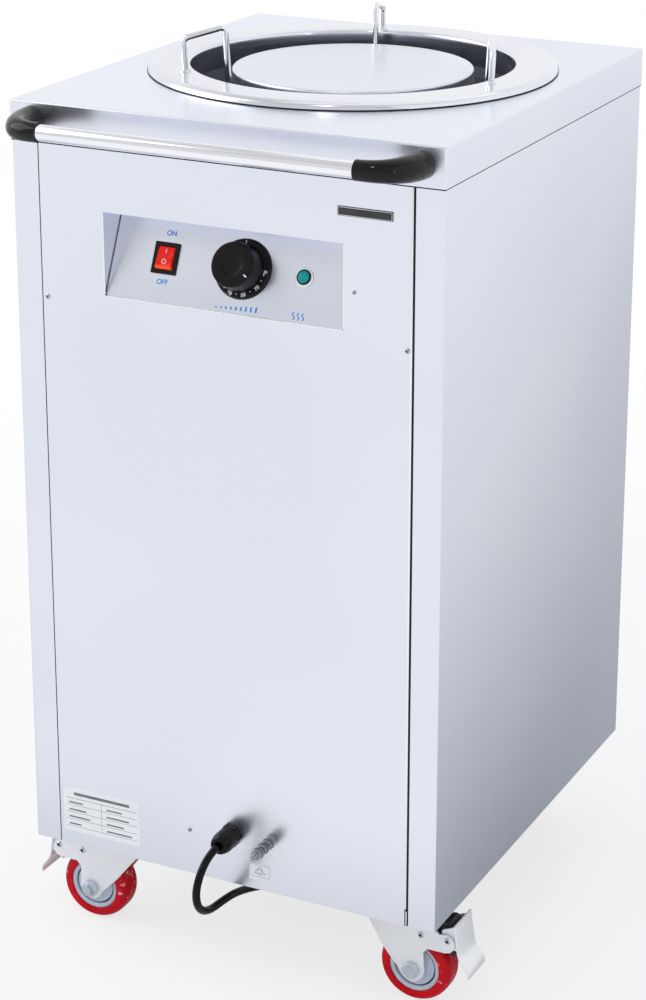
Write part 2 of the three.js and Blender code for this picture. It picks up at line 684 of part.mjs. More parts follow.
function wellBarrel() {
  const inner = WELL_R - WELL_WALL;
  const tube = solid(turned([
    [0, WELL_FLOOR], [WELL_R, WELL_FLOOR], [WELL_R, WELL_TOP], [inner, WELL_TOP],
    [inner, WELL_FLOOR + WELL_WALL], [0, WELL_FLOOR + WELL_WALL],
  ], RING_SIDES).translate(0, WELL_Y, 0));
  const half = SLOT_WIDTH / 2;
  const lugs = postAzimuths.map((azimuth) => solid(atPost(azimuth, block(
    [inner, -rodHoleR - LUG_MARGIN, lugUnder],
    [ROD_PITCH_R + rodHoleR + LUG_MARGIN, SPRING_OFFSET + SPRING_R + GAP, lugUnder + LUG_DEPTH],
  ))));
  const cuts = postAzimuths.flatMap((azimuth) => [
    solid(atPost(azimuth, block(
      [inner - CUT, -half, slotFloor], [WELL_R + CUT, half, CAP_Z - SLOT_TOP],
    ))),
    solid(atPost(azimuth, rod(rodHoleR, lugUnder - CUT, lugUnder + LUG_DEPTH + CUT)
      .translate(ROD_PITCH_R, 0, 0))),
  ]);
  const bore = solid(rod(inner, WELL_FLOOR + WELL_WALL, WELL_TOP + CUT, RING_SIDES)
    .translate(0, WELL_Y, 0));
  const tails = [-1, 1].map((side) => solid(heaterTail(side, HEATER_TUBE_R + GAP, CUT)));
  return surface(cutBy(tube.add(joined(lugs).subtract(bore)), [...cuts, ...tails]));
}

// One cold end of the heater, straight down from the end of its ring.
function heaterTail(side, radius, extra = 0) {
  const angle = THREE.MathUtils.degToRad(side * HEATER_ARC / 2 + 90);
  const z = WELL_FLOOR + HEATER_LIFT;
  return rod(radius, z - HEATER_TAIL - extra, z)
    .translate(HEATER_R * Math.cos(angle), WELL_Y + HEATER_R * Math.sin(angle), 0);
}

function heater() {
  const steps = 24;
  const run = arc([0, WELL_Y], HEATER_R, 90 - HEATER_ARC / 2, 90 + HEATER_ARC / 2, steps)
    .map(([x, y]) => new THREE.Vector3(x, y, WELL_FLOOR + HEATER_LIFT));
  const ring = sweep(run, () => HEATER_TUBE_R, 6, new THREE.Vector3(0, 0, 1));
  const tails = [-1, 1].map((side) => solid(heaterTail(side, HEATER_TUBE_R)));
  return surface(joined([solid(ring), ...tails]));
}

function carrierDisc() {
  const top = DISC_TOP;
  const under = DISC_TOP - DISC_SHEET;
  const round = arc([DISC_R - DISC_ROUND, top - DISC_ROUND], DISC_ROUND, 0, 90, 2);
  return turned([
    [0, under], [DISC_R - DISC_ROUND, under], [DISC_R - DISC_SHEET, top - DISC_ROUND],
    [DISC_R - DISC_SHEET, top - DISC_RIM], [DISC_R, top - DISC_RIM], ...round, [0, top],
  ], RING_SIDES).translate(0, WELL_Y, 0);
}

// Round plate with three legs up to the disc and three arms out through the slots to the rods.
function carrierFrame() {
  const low = SPIDER_TOP - SPIDER_THICK;
  const hub = solid(rod(SPIDER_R, low, SPIDER_TOP, 24).translate(0, WELL_Y, 0));
  const parts = postAzimuths.flatMap((azimuth) => [
    solid(atPost(azimuth, rod(LEG_R, low, DISC_TOP - DISC_SHEET - GAP).translate(LEG_PITCH_R, 0, 0))),
    solid(atPost(azimuth, block([0, -ARM_WIDTH / 2, low], [ROD_PITCH_R, ARM_WIDTH / 2, SPIDER_TOP]))),
    solid(atPost(azimuth, rod(SLEEVE_R, low - SLEEVE_LENGTH / 2, low + SLEEVE_LENGTH / 2)
      .translate(ROD_PITCH_R, 0, 0))),
    solid(atPost(azimuth, block(
      [ROD_PITCH_R - SPRING_R, 0, low],
      [ROD_PITCH_R + SPRING_R, SPRING_OFFSET + SPRING_R, SPIDER_TOP],
    ))),
  ]);
  const bores = postAzimuths.map((azimuth) => solid(atPost(azimuth,
    rod(rodHoleR, low - SLEEVE_LENGTH, low + SLEEVE_LENGTH).translate(ROD_PITCH_R, 0, 0))));
  return surface(cutBy(joined([hub, ...parts]), bores));
}

const guideRod = (azimuth) => atPost(azimuth, rod(ROD_R, BASE_Z + BASE_SHEET + GAP,
  lugUnder + LUG_DEPTH + LUG_MARGIN).translate(ROD_PITCH_R, 0, 0));

function liftSpring(azimuth) {
  const low = SPIDER_TOP + GAP;
  const high = lugUnder - GAP;
  const bore = SPRING_R - SPRING_WIRE;
  const wall = turned([[bore, low], [SPRING_R, low], [SPRING_R, high], [bore, high]], ROD_SIDES);
  return atPost(azimuth, wall.translate(ROD_PITCH_R, SPRING_OFFSET, 0));
}

// ---- Cord entry ----

// A piece drawn with its axis on +Z is turned to stick out of the front panel.
const alongY = (thing, x) => thing.rotateX(Math.PI / 2).translate(x, BODY_FRONT, ENTRY_Z);

// Hexagon outside the panel, thread through it, locknut inside, and a barrel under the dome nut.
function glandBody() {
  const inside = SHEET + GAP;
  const hex = solid(hexagon(GLAND_HEX, GAP, GAP + GLAND_HEX_THICK));
  const thread = solid(rod(GLAND_THREAD_R, -inside - LOCKNUT_THICK - 4,
    GLAND_REACH - GLAND_RECESS - GAP, SMALL_SIDES));
  const locknut = solid(hexagon(GLAND_HEX, -inside - LOCKNUT_THICK, -inside));
  return alongY(surface(joined([hex, thread, locknut])), GLAND_X);
}

function glandNut() {
  const low = 2 * GAP + GLAND_HEX_THICK;
  const bore = GLAND_THREAD_R + GAP;
  const mouth = CORD_R + TURN_GAP;
  const seal = GLAND_REACH - GLAND_RECESS;
  return alongY(turned([
    [bore, low], [GLAND_NUT_R, low], [GLAND_NUT_R, seal - 3], [GLAND_MOUTH_R + 1.5, GLAND_REACH - 1],
    [GLAND_MOUTH_R, GLAND_REACH], [mouth, GLAND_REACH], [mouth, seal], [bore, seal],
  ], SMALL_SIDES), GLAND_X);
}

// Threaded stud clamped through the panel, with a washer and nut on each side and one more outside.
function earthStud() {
  const inside = -SHEET - GAP;
  const parts = [
    rod(STUD_R, inside - STUD_TAIL, STUD_REACH),
    rod(WASHER_R, GAP, GAP + WASHER_THICK),
    hexagon(NUT_FLATS, GAP + WASHER_THICK, GAP + WASHER_THICK + NUT_THICK),
    rod(WASHER_R, STUD_NUT_AT, STUD_NUT_AT + WASHER_THICK),
    hexagon(NUT_FLATS, STUD_NUT_AT + WASHER_THICK, STUD_NUT_AT + WASHER_THICK + NUT_THICK),
    hexagon(NUT_FLATS, inside - NUT_THICK, inside),
  ];
  return alongY(surface(joined(parts.map(solid))), STUD_X);
}

function terminalBox() {
  const [width, depth, height] = TERMINAL_BOX;
  const y = BODY_FRONT + TERMINAL_BOX_BACK;
  const z = BASE_Z + BASE_SHEET + GAP;
  return block([GLAND_X - width / 2, y, z], [GLAND_X + width / 2, y + depth, z + height]);
}

// ---- Handle ----

const barEnd = BAR_LENGTH / 2;
const barY = CAP_FRONT - BAR_REACH;
const barZ = CAP_Z - BAR_DROP;

const handleBar = () => rod(BAR_R, -barEnd - BAR_SOCKET, barEnd + BAR_SOCKET, SMALL_SIDES)
  .rotateY(Math.PI / 2)
  .translate(0, barY, barZ);

// Elbow that swells from the bar to its foot on the cap's skirt. side is -1 on the left.
function handleElbow(side) {
  const footX = CAP_WIDTH / 2 - ELBOW_FOOT_IN;
  const footY = CAP_FRONT - GAP;
  const footZ = CAP_Z - ELBOW_FOOT_DROP;
  const power = 2 / ELBOW_SQUARENESS;
  const steps = 10;
  const run = Array.from({ length: steps + 1 }, (_, i) => {
    const angle = Math.PI / 2 * i / steps;
    const out = Math.sin(angle) ** power;
    const back = 1 - Math.cos(angle) ** power;
    return new THREE.Vector3(
      side * (barEnd + (footX - barEnd) * out),
      barY + (footY - barY) * back,
      barZ + (footZ - barZ) * back,
    );
  });
  const swell = (share) => ELBOW_R + (ELBOW_FOOT_R - ELBOW_R) * share ** 1.3;
  const arm = solid(sweep(run, swell, ROD_SIDES, new THREE.Vector3(0, 0, 1)));
  const bore = solid(rod(BAR_R + GAP, barEnd - CUT, barEnd + BAR_SOCKET + GAP, SMALL_SIDES)
    .rotateY(side * Math.PI / 2)
    .translate(0, barY, barZ));
  const skirt = solid(block([-CAP_WIDTH, footY, 0], [CAP_WIDTH, CAP_BACK, 2 * CAP_Z]));
  return surface(cutBy(arm, [bore, skirt]));
}

// ---- Casters ----
// Each is drawn in its own frame: the swivel axis is +Z, the wheel trails along +X, floor at 0.

const forkIn = FORK_WIDTH / 2 - FORK_SHEET;
const wheelTip = WHEEL_R / Math.cos(Math.PI / WHEEL_SIDES);
const plateUnder = CASTER_HEIGHT - CASTER_PLATE[2];

// Something drawn in the fork's side view [out, up], given a width across the wheel.
const acrossWheel = (outline, low, high) =>
  prism(outline, high - low).rotateX(Math.PI / 2).translate(0, high, 0);

// Something turned about +Z is laid along the axle.
const onAxle = (thing) => thing.rotateX(Math.PI / 2).translate(TRAIL, 0, WHEEL_R);

// Top plate, upper race and kingpin in one riveted piece.
function casterPlate() {
  const [width, depth, thick] = CASTER_PLATE;
  const top = plateUnder + thick;
  const plate = solid(block([-width / 2, -depth / 2, plateUnder], [width / 2, depth / 2, top]));
  const crown = FORK_TOP - FORK_CROWN;
  const pin = solid(turned([
    [0, crown - GAP - KINGPIN_HEAD_THICK], [KINGPIN_HEAD_R, crown - GAP - KINGPIN_HEAD_THICK],
    [KINGPIN_HEAD_R, crown - GAP], [KINGPIN_R, crown - GAP], [KINGPIN_R, FORK_TOP + GAP],
    [RACE_R - RACE_LIP, FORK_TOP + GAP], [RACE_R, FORK_TOP + RACE_EDGE],
    [RACE_R - RACE_EDGE, plateUnder + GAP], [0, plateUnder + GAP],
  ], HUB_SIDES));
  return surface(plate.add(pin));
}

// Fork's side view: a lobe round the axle, a straight neck and, with a brake, a tail for its pedal.
function forkOutline(braked) {
  const axle = [TRAIL, WHEEL_R];
  const back = TRAIL + FORK_LOBE_R - FORK_NECK_IN;
  const tailUnder = TAIL_HEIGHT - TAIL_R;
  const [shoulder, shoulderDrop] = TAIL_SHOULDER;
  const [cutAlong, cutDown] = FORK_REAR_CUT;
  const tail = braked
    ? [[back, tailUnder - TAIL_FILLET], [back + TAIL_FILLET, tailUnder],
      ...arc([TAIL_REACH, TAIL_HEIGHT], TAIL_R, -90, 80, 5),
      [TAIL_REACH - shoulder, TAIL_HEIGHT + TAIL_R - shoulderDrop], [TAIL_REACH - TAIL_HEEL, FORK_TOP]]
    : [[back, FORK_TOP - cutDown], [back - cutAlong, FORK_TOP]];
  const edge = FORK_EDGE.map(([out, down]) => [out, FORK_TOP - down]);
  return [...edge, ...arc(axle, FORK_LOBE_R, 195, 360, 6), ...tail];
}

function casterFork(braked) {
  const outline = forkOutline(braked);
  const half = FORK_WIDTH / 2;
  const sides = [acrossWheel(outline, -half, -forkIn), acrossWheel(outline, forkIn, half)];
  const [crownFront] = FORK_EDGE[0];
  const crownBack = TRAIL + FORK_LOBE_R - CROWN_IN;
  const crown = block([crownFront, -half, FORK_TOP - FORK_CROWN], [crownBack, half, FORK_TOP]);
  const axleHole = onAxle(rod(AXLE_R + GAP, -half - CUT, half + CUT));
  const pinHole = rod(KINGPIN_R + TURN_GAP, FORK_TOP - FORK_CROWN - CUT, FORK_TOP + CUT, SMALL_SIDES);
  const holes = [axleHole, pinHole];
  if (braked) {
    holes.push(acrossWheel(arc(PEDAL_PIVOT, PEDAL_PIN_R + GAP, 0, 330, 11), -half - CUT, half + CUT));
  }
  return surface(cutBy(joined([...sides, crown].map(solid)), holes.map(solid)));
}

// Tyre with a flat band round its crown and one flat facet on the floor.
function tyre() {
  const w = TYRE_WIDTH / 2;
  const scale = wheelTip / WHEEL_R;
  const inner = HUB_R + GAP / scale;
  const shoulder = (WHEEL_R + TREAD_EDGE_R) / 2 + TREAD_CROWN;
  const profile = [
    [inner, -w], [TREAD_EDGE_R, -w], [shoulder, -(w + TREAD_FLAT / 2) / 2],
    [WHEEL_R, -TREAD_FLAT / 2], [WHEEL_R, TREAD_FLAT / 2], [shoulder, (w + TREAD_FLAT / 2) / 2],
    [TREAD_EDGE_R, w], [inner, w],
  ].map(([r, h]) => [r * scale, h]);
  return onAxle(turned(profile, WHEEL_SIDES));
}

function hub() {
  const rim = HUB_RIM / 2;
  const web = HUB_WEB / 2;
  const boss = forkIn - GAP;
  const bore = AXLE_R + TURN_GAP;
  const rimIn = HUB_R - HUB_RIM_THICK;
  return onAxle(turned([
    [bore, -boss], [HUB_BOSS_R, -boss], [HUB_BOSS_R + HUB_DRAFT, -web], [rimIn - HUB_DRAFT, -web],
    [rimIn, -rim], [HUB_R, -rim], [HUB_R, rim], [rimIn, rim],
    [rimIn - HUB_DRAFT, web], [HUB_BOSS_R + HUB_DRAFT, web], [HUB_BOSS_R, boss], [bore, boss],
  ], HUB_SIDES));
}

// Bolt through the fork, its head at side * Y and its nut on the other face.
function axle(side) {
  const face = FORK_WIDTH / 2 + GAP;
  const bolt = joined([
    rod(AXLE_R, -face - AXLE_NUT_THICK - AXLE_END, face + AXLE_HEAD_THICK),
    hexagon(AXLE_HEAD_FLATS, face, face + AXLE_HEAD_THICK),
    hexagon(AXLE_HEAD_FLATS, -face - AXLE_NUT_THICK, -face),
  ].map(solid));
  const shape = surface(bolt).rotateX(side > 0 ? Math.PI : 0);
  return onAxle(shape);
}

// Pedal: a bent face, two arms inside the fork's tail, a pivot pin and the block that meets the tyre.
function brakePedal() {
  const half = FORK_WIDTH / 2;
  const arm = forkIn - PEDAL_ARM_GAP;
  const [px, pz] = PEDAL_PIVOT;
  const outer = PEDAL_FACE.map(([x, z]) => [x + PEDAL_SHEET, z]).reverse();
  const face = acrossWheel([...PEDAL_FACE, ...outer], -half, half);
  const [[topX, topZ], [bendX, bendZ]] = PEDAL_FACE;
  const [overBend, overTop] = PEDAL_ARM_ENDS;
  const armOutline = [
    ...PEDAL_ARM.map(([x, z]) => [px + x, pz + z]),
    [bendX + PEDAL_ARM_LAP, bendZ + overBend],
    [topX + PEDAL_ARM_LAP, topZ + overTop],
  ];
  const arms = [
    acrossWheel(armOutline, -arm, -arm + PEDAL_SHEET),
    acrossWheel(armOutline, arm - PEDAL_SHEET, arm),
  ];
  const pinEnd = half + PEDAL_PIN_HEAD;
  const pin = rod(PEDAL_PIN_R, -pinEnd, pinEnd).rotateX(Math.PI / 2).translate(px, 0, pz);
  const pad = acrossWheel(BRAKE_BLOCK, -BRAKE_BLOCK_WIDTH / 2, BRAKE_BLOCK_WIDTH / 2);
  return surface(joined([face, ...arms, pin, pad].map(solid)));
}

// ---- Cord, coil and plug ----

const coilMid = CORD_R + FLOOR_LIFT;

// Centre line of the coil: half its turns spiral in on the floor, it climbs a layer in the half
// turn round the reversal, and the other half spiral out on top. It starts towards +Y.
function coilLine() {
  const perTurn = 24;
  const steps = COIL_TURNS * perTurn;
  const points = [];
  for (let i = 0; i <= steps; i += 1) {
    const turn = i / perTurn;
    const fromMiddle = turn - COIL_TURNS / 2;
    const radius = COIL_INNER_R + COIL_STEP * Math.abs(fromMiddle);
    const climb = THREE.MathUtils.clamp(fromMiddle * 2 + 0.5, 0, 1);
    const angle = Math.PI - 2 * Math.PI * turn;
    points.push(new THREE.Vector3(
      COIL_X + radius * Math.cos(angle),
      COIL_Y + radius * Math.sin(angle),
      coilMid + COIL_STEP * climb,
    ));
  }
  points.unshift(points[0].clone().sub(new THREE.Vector3(0, 2 * CORD_R, 0)));
  points.push(points[points.length - 1].clone().add(new THREE.Vector3(0, COIL_TAIL, 0)));
  return points;
}

// Least clear distance between stretches of the line that are more than three diameters apart.
function leastGap(points) {
  let least = Infinity;
  const run = [0];
  points.forEach((point, i) => {
    if (i) run.push(run[i - 1] + point.distanceTo(points[i - 1]));
  });
  points.forEach((point, i) => {
    for (let j = i + 1; j < points.length - 1; j += 1) {
      if (run[j] - run[i] < 6 * CORD_R) continue;
      const line = new THREE.Line3(points[j], points[j + 1]);
      const near = line.closestPointToPoint(point, true, new THREE.Vector3());
      least = Math.min(least, near.distanceTo(point) - 2 * CORD_R);
    }
  });
  return least;
}

const coilPoints = coilLine();
console.log(`least gap between the coil's turns: ${leastGap(coilPoints).toFixed(2)} mm`);

// Free stretch: out of the gland, down and back under the cabinet, then along the floor.
function powerCord() {
  const start = BODY_FRONT - GLAND_REACH + GLAND_RECESS;
  const end = coilPoints[0];
  const route = [
    [GLAND_X, start, ENTRY_Z], [GLAND_X, start - 7, ENTRY_Z], [GLAND_X, start - 15, ENTRY_Z - 0.4],
    [3, start - 28, ENTRY_Z - 5], [2.2, start - 39, ENTRY_Z - 15], [1, start - 44.5, ENTRY_Z - 30],
    [0, start - 41, ENTRY_Z - 46], [-1, start - 29, ENTRY_Z - 59], [-2, start - 10, ENTRY_Z - 67],
    [-3, start + 14, ENTRY_Z - 71], [-4, start + 40, ENTRY_Z - 76], [-5, start + 68, ENTRY_Z - 85],
    [-6, start + 98, ENTRY_Z - 97], [-7, start + 130, ENTRY_Z - 112], [-7.5, start + 162, ENTRY_Z - 128],
    [-8, start + 194, ENTRY_Z - 142], [-8.3, start + 226, coilMid + 7], [-8.5, start + 256, coilMid + 1.5],
    [end.x, end.y - 50, coilMid], [end.x, end.y - 24, coilMid], [end.x, end.y - GAP, coilMid],
  ].map((place) => new THREE.Vector3(...place));
  const path = new THREE.CatmullRomCurve3(route);
  const section = new THREE.Shape(arc([0, 0], CORD_R, 0, 315, 7).map(([x, y]) => new THREE.Vector2(x, y)));
  const steps = Math.ceil(path.getLength() / (4 * CORD_R));
  return new THREE.ExtrudeGeometry(section, { steps, extrudePath: path, bevelEnabled: false });
}

const cordCoil = () => sweep(coilPoints, () => CORD_R, 6, new THREE.Vector3(0, 0, 1));

// Moulded two-pin plug lying on the floor in line with the coil's loose end.
function plug() {
  const end = coilPoints[coilPoints.length - 1];
  const neck = CORD_R + PLUG_NECK_WALL;
  const [neckEnd, shoulder] = PLUG_TAPER;
  const body = solid(turned([
    [0, 0], [neck, 0], [neck + PLUG_NECK_SWELL, neckEnd],
    [PLUG_R, shoulder], [PLUG_R, PLUG_LENGTH], [0, PLUG_LENGTH],
  ], SMALL_SIDES));
  const pins = [-1, 1].map((side) => solid(rod(PIN_R, PLUG_LENGTH - 2, PLUG_LENGTH + PIN_LENGTH, 8)
    .translate(side * PIN_SPACING / 2, 0, 0)));
  const sunk = Math.max(PLUG_R + FLOOR_LIFT, end.z);
  return surface(joined([body, ...pins]))
    .rotateX(-Math.PI / 2)
    .translate(end.x, end.y + GAP, sunk);
}

// ---- Assembly ----

piece('top_cover', topCover(), steel, cart);
piece('side_panel_left', sidePanel(), steel, cart);
piece('side_panel_right', sidePanel().scale(-1, 1, 1), steel, cart);
piece('front_panel', frontPanel(), steel, cart);
piece('back_panel', backPanel(), steel, cart);
piece('base_panel', basePanel(), steel, cart);
piece('control_pan', controlPan(), steel, cart);

piece('top_ring', topRing(), polished, cart);
piece('well_barrel', wellBarrel(), wellSteel, cart);
piece('heater_element', heater(), heaterSteel, cart);
piece('carrier_disc', carrierDisc(), steel, cart);
piece('carrier_frame', carrierFrame(), wellSteel, cart);
postAzimuths.forEach((azimuth, i) => {
  piece(`guide_rod_${i + 1}`, guideRod(azimuth), polished, cart);
  piece(`lift_spring_${i + 1}`, liftSpring(azimuth), spring, cart);
});
GUIDES.forEach(({ name, place, height, swing }) => {
  const inward = THREE.MathUtils.degToRad(180 + swing);
  piece(name, atGuide(place, plateGuide(height).rotateZ(inward)), polished, cart);
});

piece('switch_bezel', onSlope(switchBezel(), SWITCH_FROM_LEFT, SWITCH_UP), blackGloss, cart);
piece('switch_rocker', onSlope(switchRocker(), SWITCH_FROM_LEFT, SWITCH_UP), redRocker, cart);
piece('thermostat', onSlope(thermostat(), KNOB_FROM_LEFT, KNOB_UP), boxPlastic, cart);
piece('thermostat_spindle', onSlope(spindle(), KNOB_FROM_LEFT, KNOB_UP), zinc, cart);
piece('thermostat_knob', onSlope(knob(), KNOB_FROM_LEFT, KNOB_UP), blackMatte, cart);
piece('lamp_bezel', onSlope(lampBezel(), LAMP_FROM_LEFT, LAMP_UP), blackGloss, cart);
piece('lamp_lens', onSlope(lampLens(), LAMP_FROM_LEFT, LAMP_UP), tealLens, cart);

piece('gland_body', glandBody(), blackMatte, cart);
piece('gland_nut', glandNut(), blackMatte, cart);
piece('earth_stud', earthStud(), zinc, cart);
piece('terminal_box', terminalBox(), boxPlastic, cart);
piece('power_cord', powerCord(), cordRubber, cart);
piece('cord_coil', cordCoil(), cordRubber, cart);
piece('plug', plug(), blackMatte, cart);

piece('handle_bar', handleBar(), polished, cart);
piece('handle_elbow_left', handleElbow(-1), blackGloss, cart);
piece('handle_elbow_right', handleElbow(1), blackGloss, cart);

const swivelX = CAP_WIDTH / 2 - CASTER_SIDE_IN;
const frontY = CAP_FRONT + FRONT_CASTER_IN;
const rearY = CAP_BACK - REAR_CASTER_IN;
// trail is the direction along X in which the wheel trails; head is the side of the bolt's head.
const casters = [
  { name: 'front_left', x: -swivelX, y: frontY, trail: -1, head: 1, braked: true },
  { name: 'front_right', x: swivelX, y: frontY, trail: 1, head: -1, braked: true },
  { name: 'rear_left', x: -swivelX, y: rearY, trail: 1, head: 1, braked: false },
  { name: 'rear_right', x: swivelX, y: rearY, trail: -1, head: 1, braked: false },
];
casters.forEach(({ name, x, y, trail, head, braked }) => {
  const caster = group(cart, [x, y, 0]);
  caster.rotation.z = trail < 0 ? Math.PI : 0;
  piece(`caster_plate_${name}`, casterPlate(), zinc, caster);
  piece(`caster_fork_${name}`, casterFork(braked), zinc, caster);
  piece(`tyre_${name}`, tyre(), redTyre, caster);
  piece(`hub_${name}`, hub(), greyHub, caster);
  piece(`axle_${name}`, axle(head * trail), zinc, caster);
  if (braked) piece(`brake_pedal_${name}`, brakePedal(), zinc, caster);
});

export default cart;
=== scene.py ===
import json
import math

import bmesh
import bpy
import numpy as np
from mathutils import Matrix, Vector

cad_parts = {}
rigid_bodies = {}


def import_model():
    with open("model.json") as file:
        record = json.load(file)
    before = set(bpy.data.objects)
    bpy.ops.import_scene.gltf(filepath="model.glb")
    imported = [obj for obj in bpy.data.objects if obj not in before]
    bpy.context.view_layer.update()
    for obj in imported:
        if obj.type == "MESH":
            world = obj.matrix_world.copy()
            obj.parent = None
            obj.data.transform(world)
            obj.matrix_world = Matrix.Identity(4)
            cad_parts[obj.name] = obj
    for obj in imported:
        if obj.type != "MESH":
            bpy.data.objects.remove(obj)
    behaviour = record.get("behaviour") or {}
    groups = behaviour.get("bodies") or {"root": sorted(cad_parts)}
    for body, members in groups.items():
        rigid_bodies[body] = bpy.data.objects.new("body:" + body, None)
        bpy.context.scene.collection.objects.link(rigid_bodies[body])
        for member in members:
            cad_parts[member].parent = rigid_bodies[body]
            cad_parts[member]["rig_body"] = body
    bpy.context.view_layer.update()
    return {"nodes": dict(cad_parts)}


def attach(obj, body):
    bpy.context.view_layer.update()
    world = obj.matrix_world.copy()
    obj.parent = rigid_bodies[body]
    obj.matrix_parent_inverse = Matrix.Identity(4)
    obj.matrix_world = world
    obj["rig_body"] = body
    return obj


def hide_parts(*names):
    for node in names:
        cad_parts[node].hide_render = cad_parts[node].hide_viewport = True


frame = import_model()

# ---- Camera ----
# The photograph's view, worked out from the straight edges of the cabinet. The image is 646 x 1000,
# and its optical axis meets it above and right of the middle, which the shift gives back.

MM = 0.001
EYE = Vector((1122.26, -2265.85, 1403.18)) * MM
EYE_TURN = (71.9726, -0.0469, 26.3277)      # degrees about X, Y and Z
FOCAL_PIXELS = 2628.83
AXIS_PIXEL = (328.59, 369.71)
IMAGE_SIZE = (646, 1000)
SENSOR = 36


def in_scene(name, data):
    """An object that holds the data, linked to the scene."""
    thing = bpy.data.objects.new(name, data)
    bpy.context.scene.collection.objects.link(thing)
    return thing


lens = bpy.data.cameras.new("camera")
lens.sensor_width = SENSOR
lens.lens = SENSOR * FOCAL_PIXELS / IMAGE_SIZE[1]
lens.shift_x = (IMAGE_SIZE[0] / 2 - AXIS_PIXEL[0]) / IMAGE_SIZE[1]
lens.shift_y = (AXIS_PIXEL[1] - IMAGE_SIZE[1] / 2) / IMAGE_SIZE[1]
lens.clip_end = 60
camera = in_scene("camera", lens)
camera.location = EYE
camera.rotation_euler = [math.radians(angle) for angle in EYE_TURN]
bpy.context.scene.camera = camera
bpy.context.scene.view_settings.view_transform = "Standard"

# ---- Studio ----
# A pale floor that runs into a white surround, two large soft lamps and two small ones that sparkle in
# the gloss. The white is what the camera and the glossy surfaces see of the surround; the light on the
# cart comes from the lamps and a soft sky. As the glossy surfaces see it, the floor near the cart is
# painted darker, a painted shade, and ahead and to the right it is painted whiter, a painted light.

SKY_LIGHT = 0.72
ROOM = [(0, 0.76), (0.19, 0.74), (0.215, 0.5), (0.24, 1)]    # the tones that gloss sees, front to back
CEILING = (0.5, 0.92, 0.66)                  # from this rise to that one, the room dims to this share
FLOOR_HALF = 9.0
FLOOR_COLOUR = (0.86, 0.865, 0.88)
FLOOR_CLEAR = (0.5, 1.9)                     # metres from the cart where the floor turns to plain white
FLOOR_WHITE_NEAR = 0.74
# painted shade: as the steel sees it, the floor close to the cart takes this darker tone
FLOOR_SHADE_IN_GLOSS = (0.54, 0.545, 0.56)         # the floor close to the cart, as the steel shows it
GLOSS_CLEAR = (2, 6)                         # metres at which that floor turns white in the steel
# painted light: as the steel sees it, the floor turns white sooner ahead and to the right
LIT_FLOOR = [((0, -2.0, 0), -0.15), ((3.2, -0.75, 0), -1.0)]     # brighter ahead and to the right
LAMPS = [                                    # name, place, aim, size and power in watts
    ("key", (-3.0, -1.1, 2.5), (0, 0, 0.5), 2.9, 50),
    ("spark_right", (2.7, -1.6, 0.95), (0, 0, 0.6), 0.15, 1.1),
    ("overhead", (0.2, 0.9, 3.1), (0, 0, 0.6), 2.2, 5),
    ("spark_top", (0.2, -1.7, 3.1), (0.1, -0.2, 0.86), 0.2, 4),
]


def add(tree, kind, links=None, **settings):
    """A node of that kind in a tree, with its sockets and properties set and linked by name."""
    node = tree.nodes.new(kind)
    for key, value in settings.items():
        setattr(node, key, value)
    for socket, value in (links or {}).items():
        if isinstance(value, bpy.types.NodeSocket):
            tree.links.new(value, node.inputs[socket])
        else:
            node.inputs[socket].default_value = value
    return node


def maths(tree, operation, one, other, clamp=False):
    """The output of a Math node that works on two values."""
    return add(tree, "ShaderNodeMath", {0: one, 1: other}, operation=operation, use_clamp=clamp).outputs[0]


def seen_directly(tree):
    """1 for rays from the camera, and for rays that gloss or glass sends on, and 0 for light."""
    path = add(tree, "ShaderNodeLightPath").outputs
    either = maths(tree, "MAXIMUM", path["Is Camera Ray"], path["Is Glossy Ray"])
    return maths(tree, "MAXIMUM", either, path["Is Transmission Ray"])


def background(tree, colour, strength):
    """The output of a plain glow of that colour."""
    return add(tree, "ShaderNodeBackground", {"Color": colour, "Strength": strength}).outputs[0]


world = bpy.data.worlds.new("surround")
bpy.context.scene.world = world
world.use_nodes = True
sky = world.node_tree
sky.nodes.clear()
way = add(sky, "ShaderNodeSeparateXYZ", {0: add(sky, "ShaderNodeTexCoord").outputs["Generated"]})
along = add(sky, "ShaderNodeMapRange", {"Value": way.outputs[1], "From Min": -1, "From Max": 1})
wall = add(sky, "ShaderNodeValToRGB", {0: along.outputs[0]})
while len(wall.color_ramp.elements) < len(ROOM):
    wall.color_ramp.elements.new(1)
for stop, (at, tone) in zip(wall.color_ramp.elements, ROOM):
    stop.position, stop.color = at, (tone, tone, tone, 1)
above = add(sky, "ShaderNodeMapRange", {"Value": way.outputs[2], "From Min": CEILING[0],
                                        "From Max": CEILING[1], "To Min": 1, "To Max": CEILING[2]})
room = maths(sky, "MULTIPLY", wall.outputs[0], above.outputs[0])
sky_mix = add(sky, "ShaderNodeMixShader", {
    0: seen_directly(sky), 1: background(sky, (0.95, 0.975, 1, 1), SKY_LIGHT),
    2: background(sky, (1, 1, 1, 1), room)})
sky_shown = add(sky, "ShaderNodeMixShader", {
    0: add(sky, "ShaderNodeLightPath").outputs["Is Camera Ray"], 1: sky_mix.outputs[0],
    2: background(sky, (1, 1, 1, 1), 1)})
add(sky, "ShaderNodeOutputWorld", {0: sky_shown.outputs[0]})

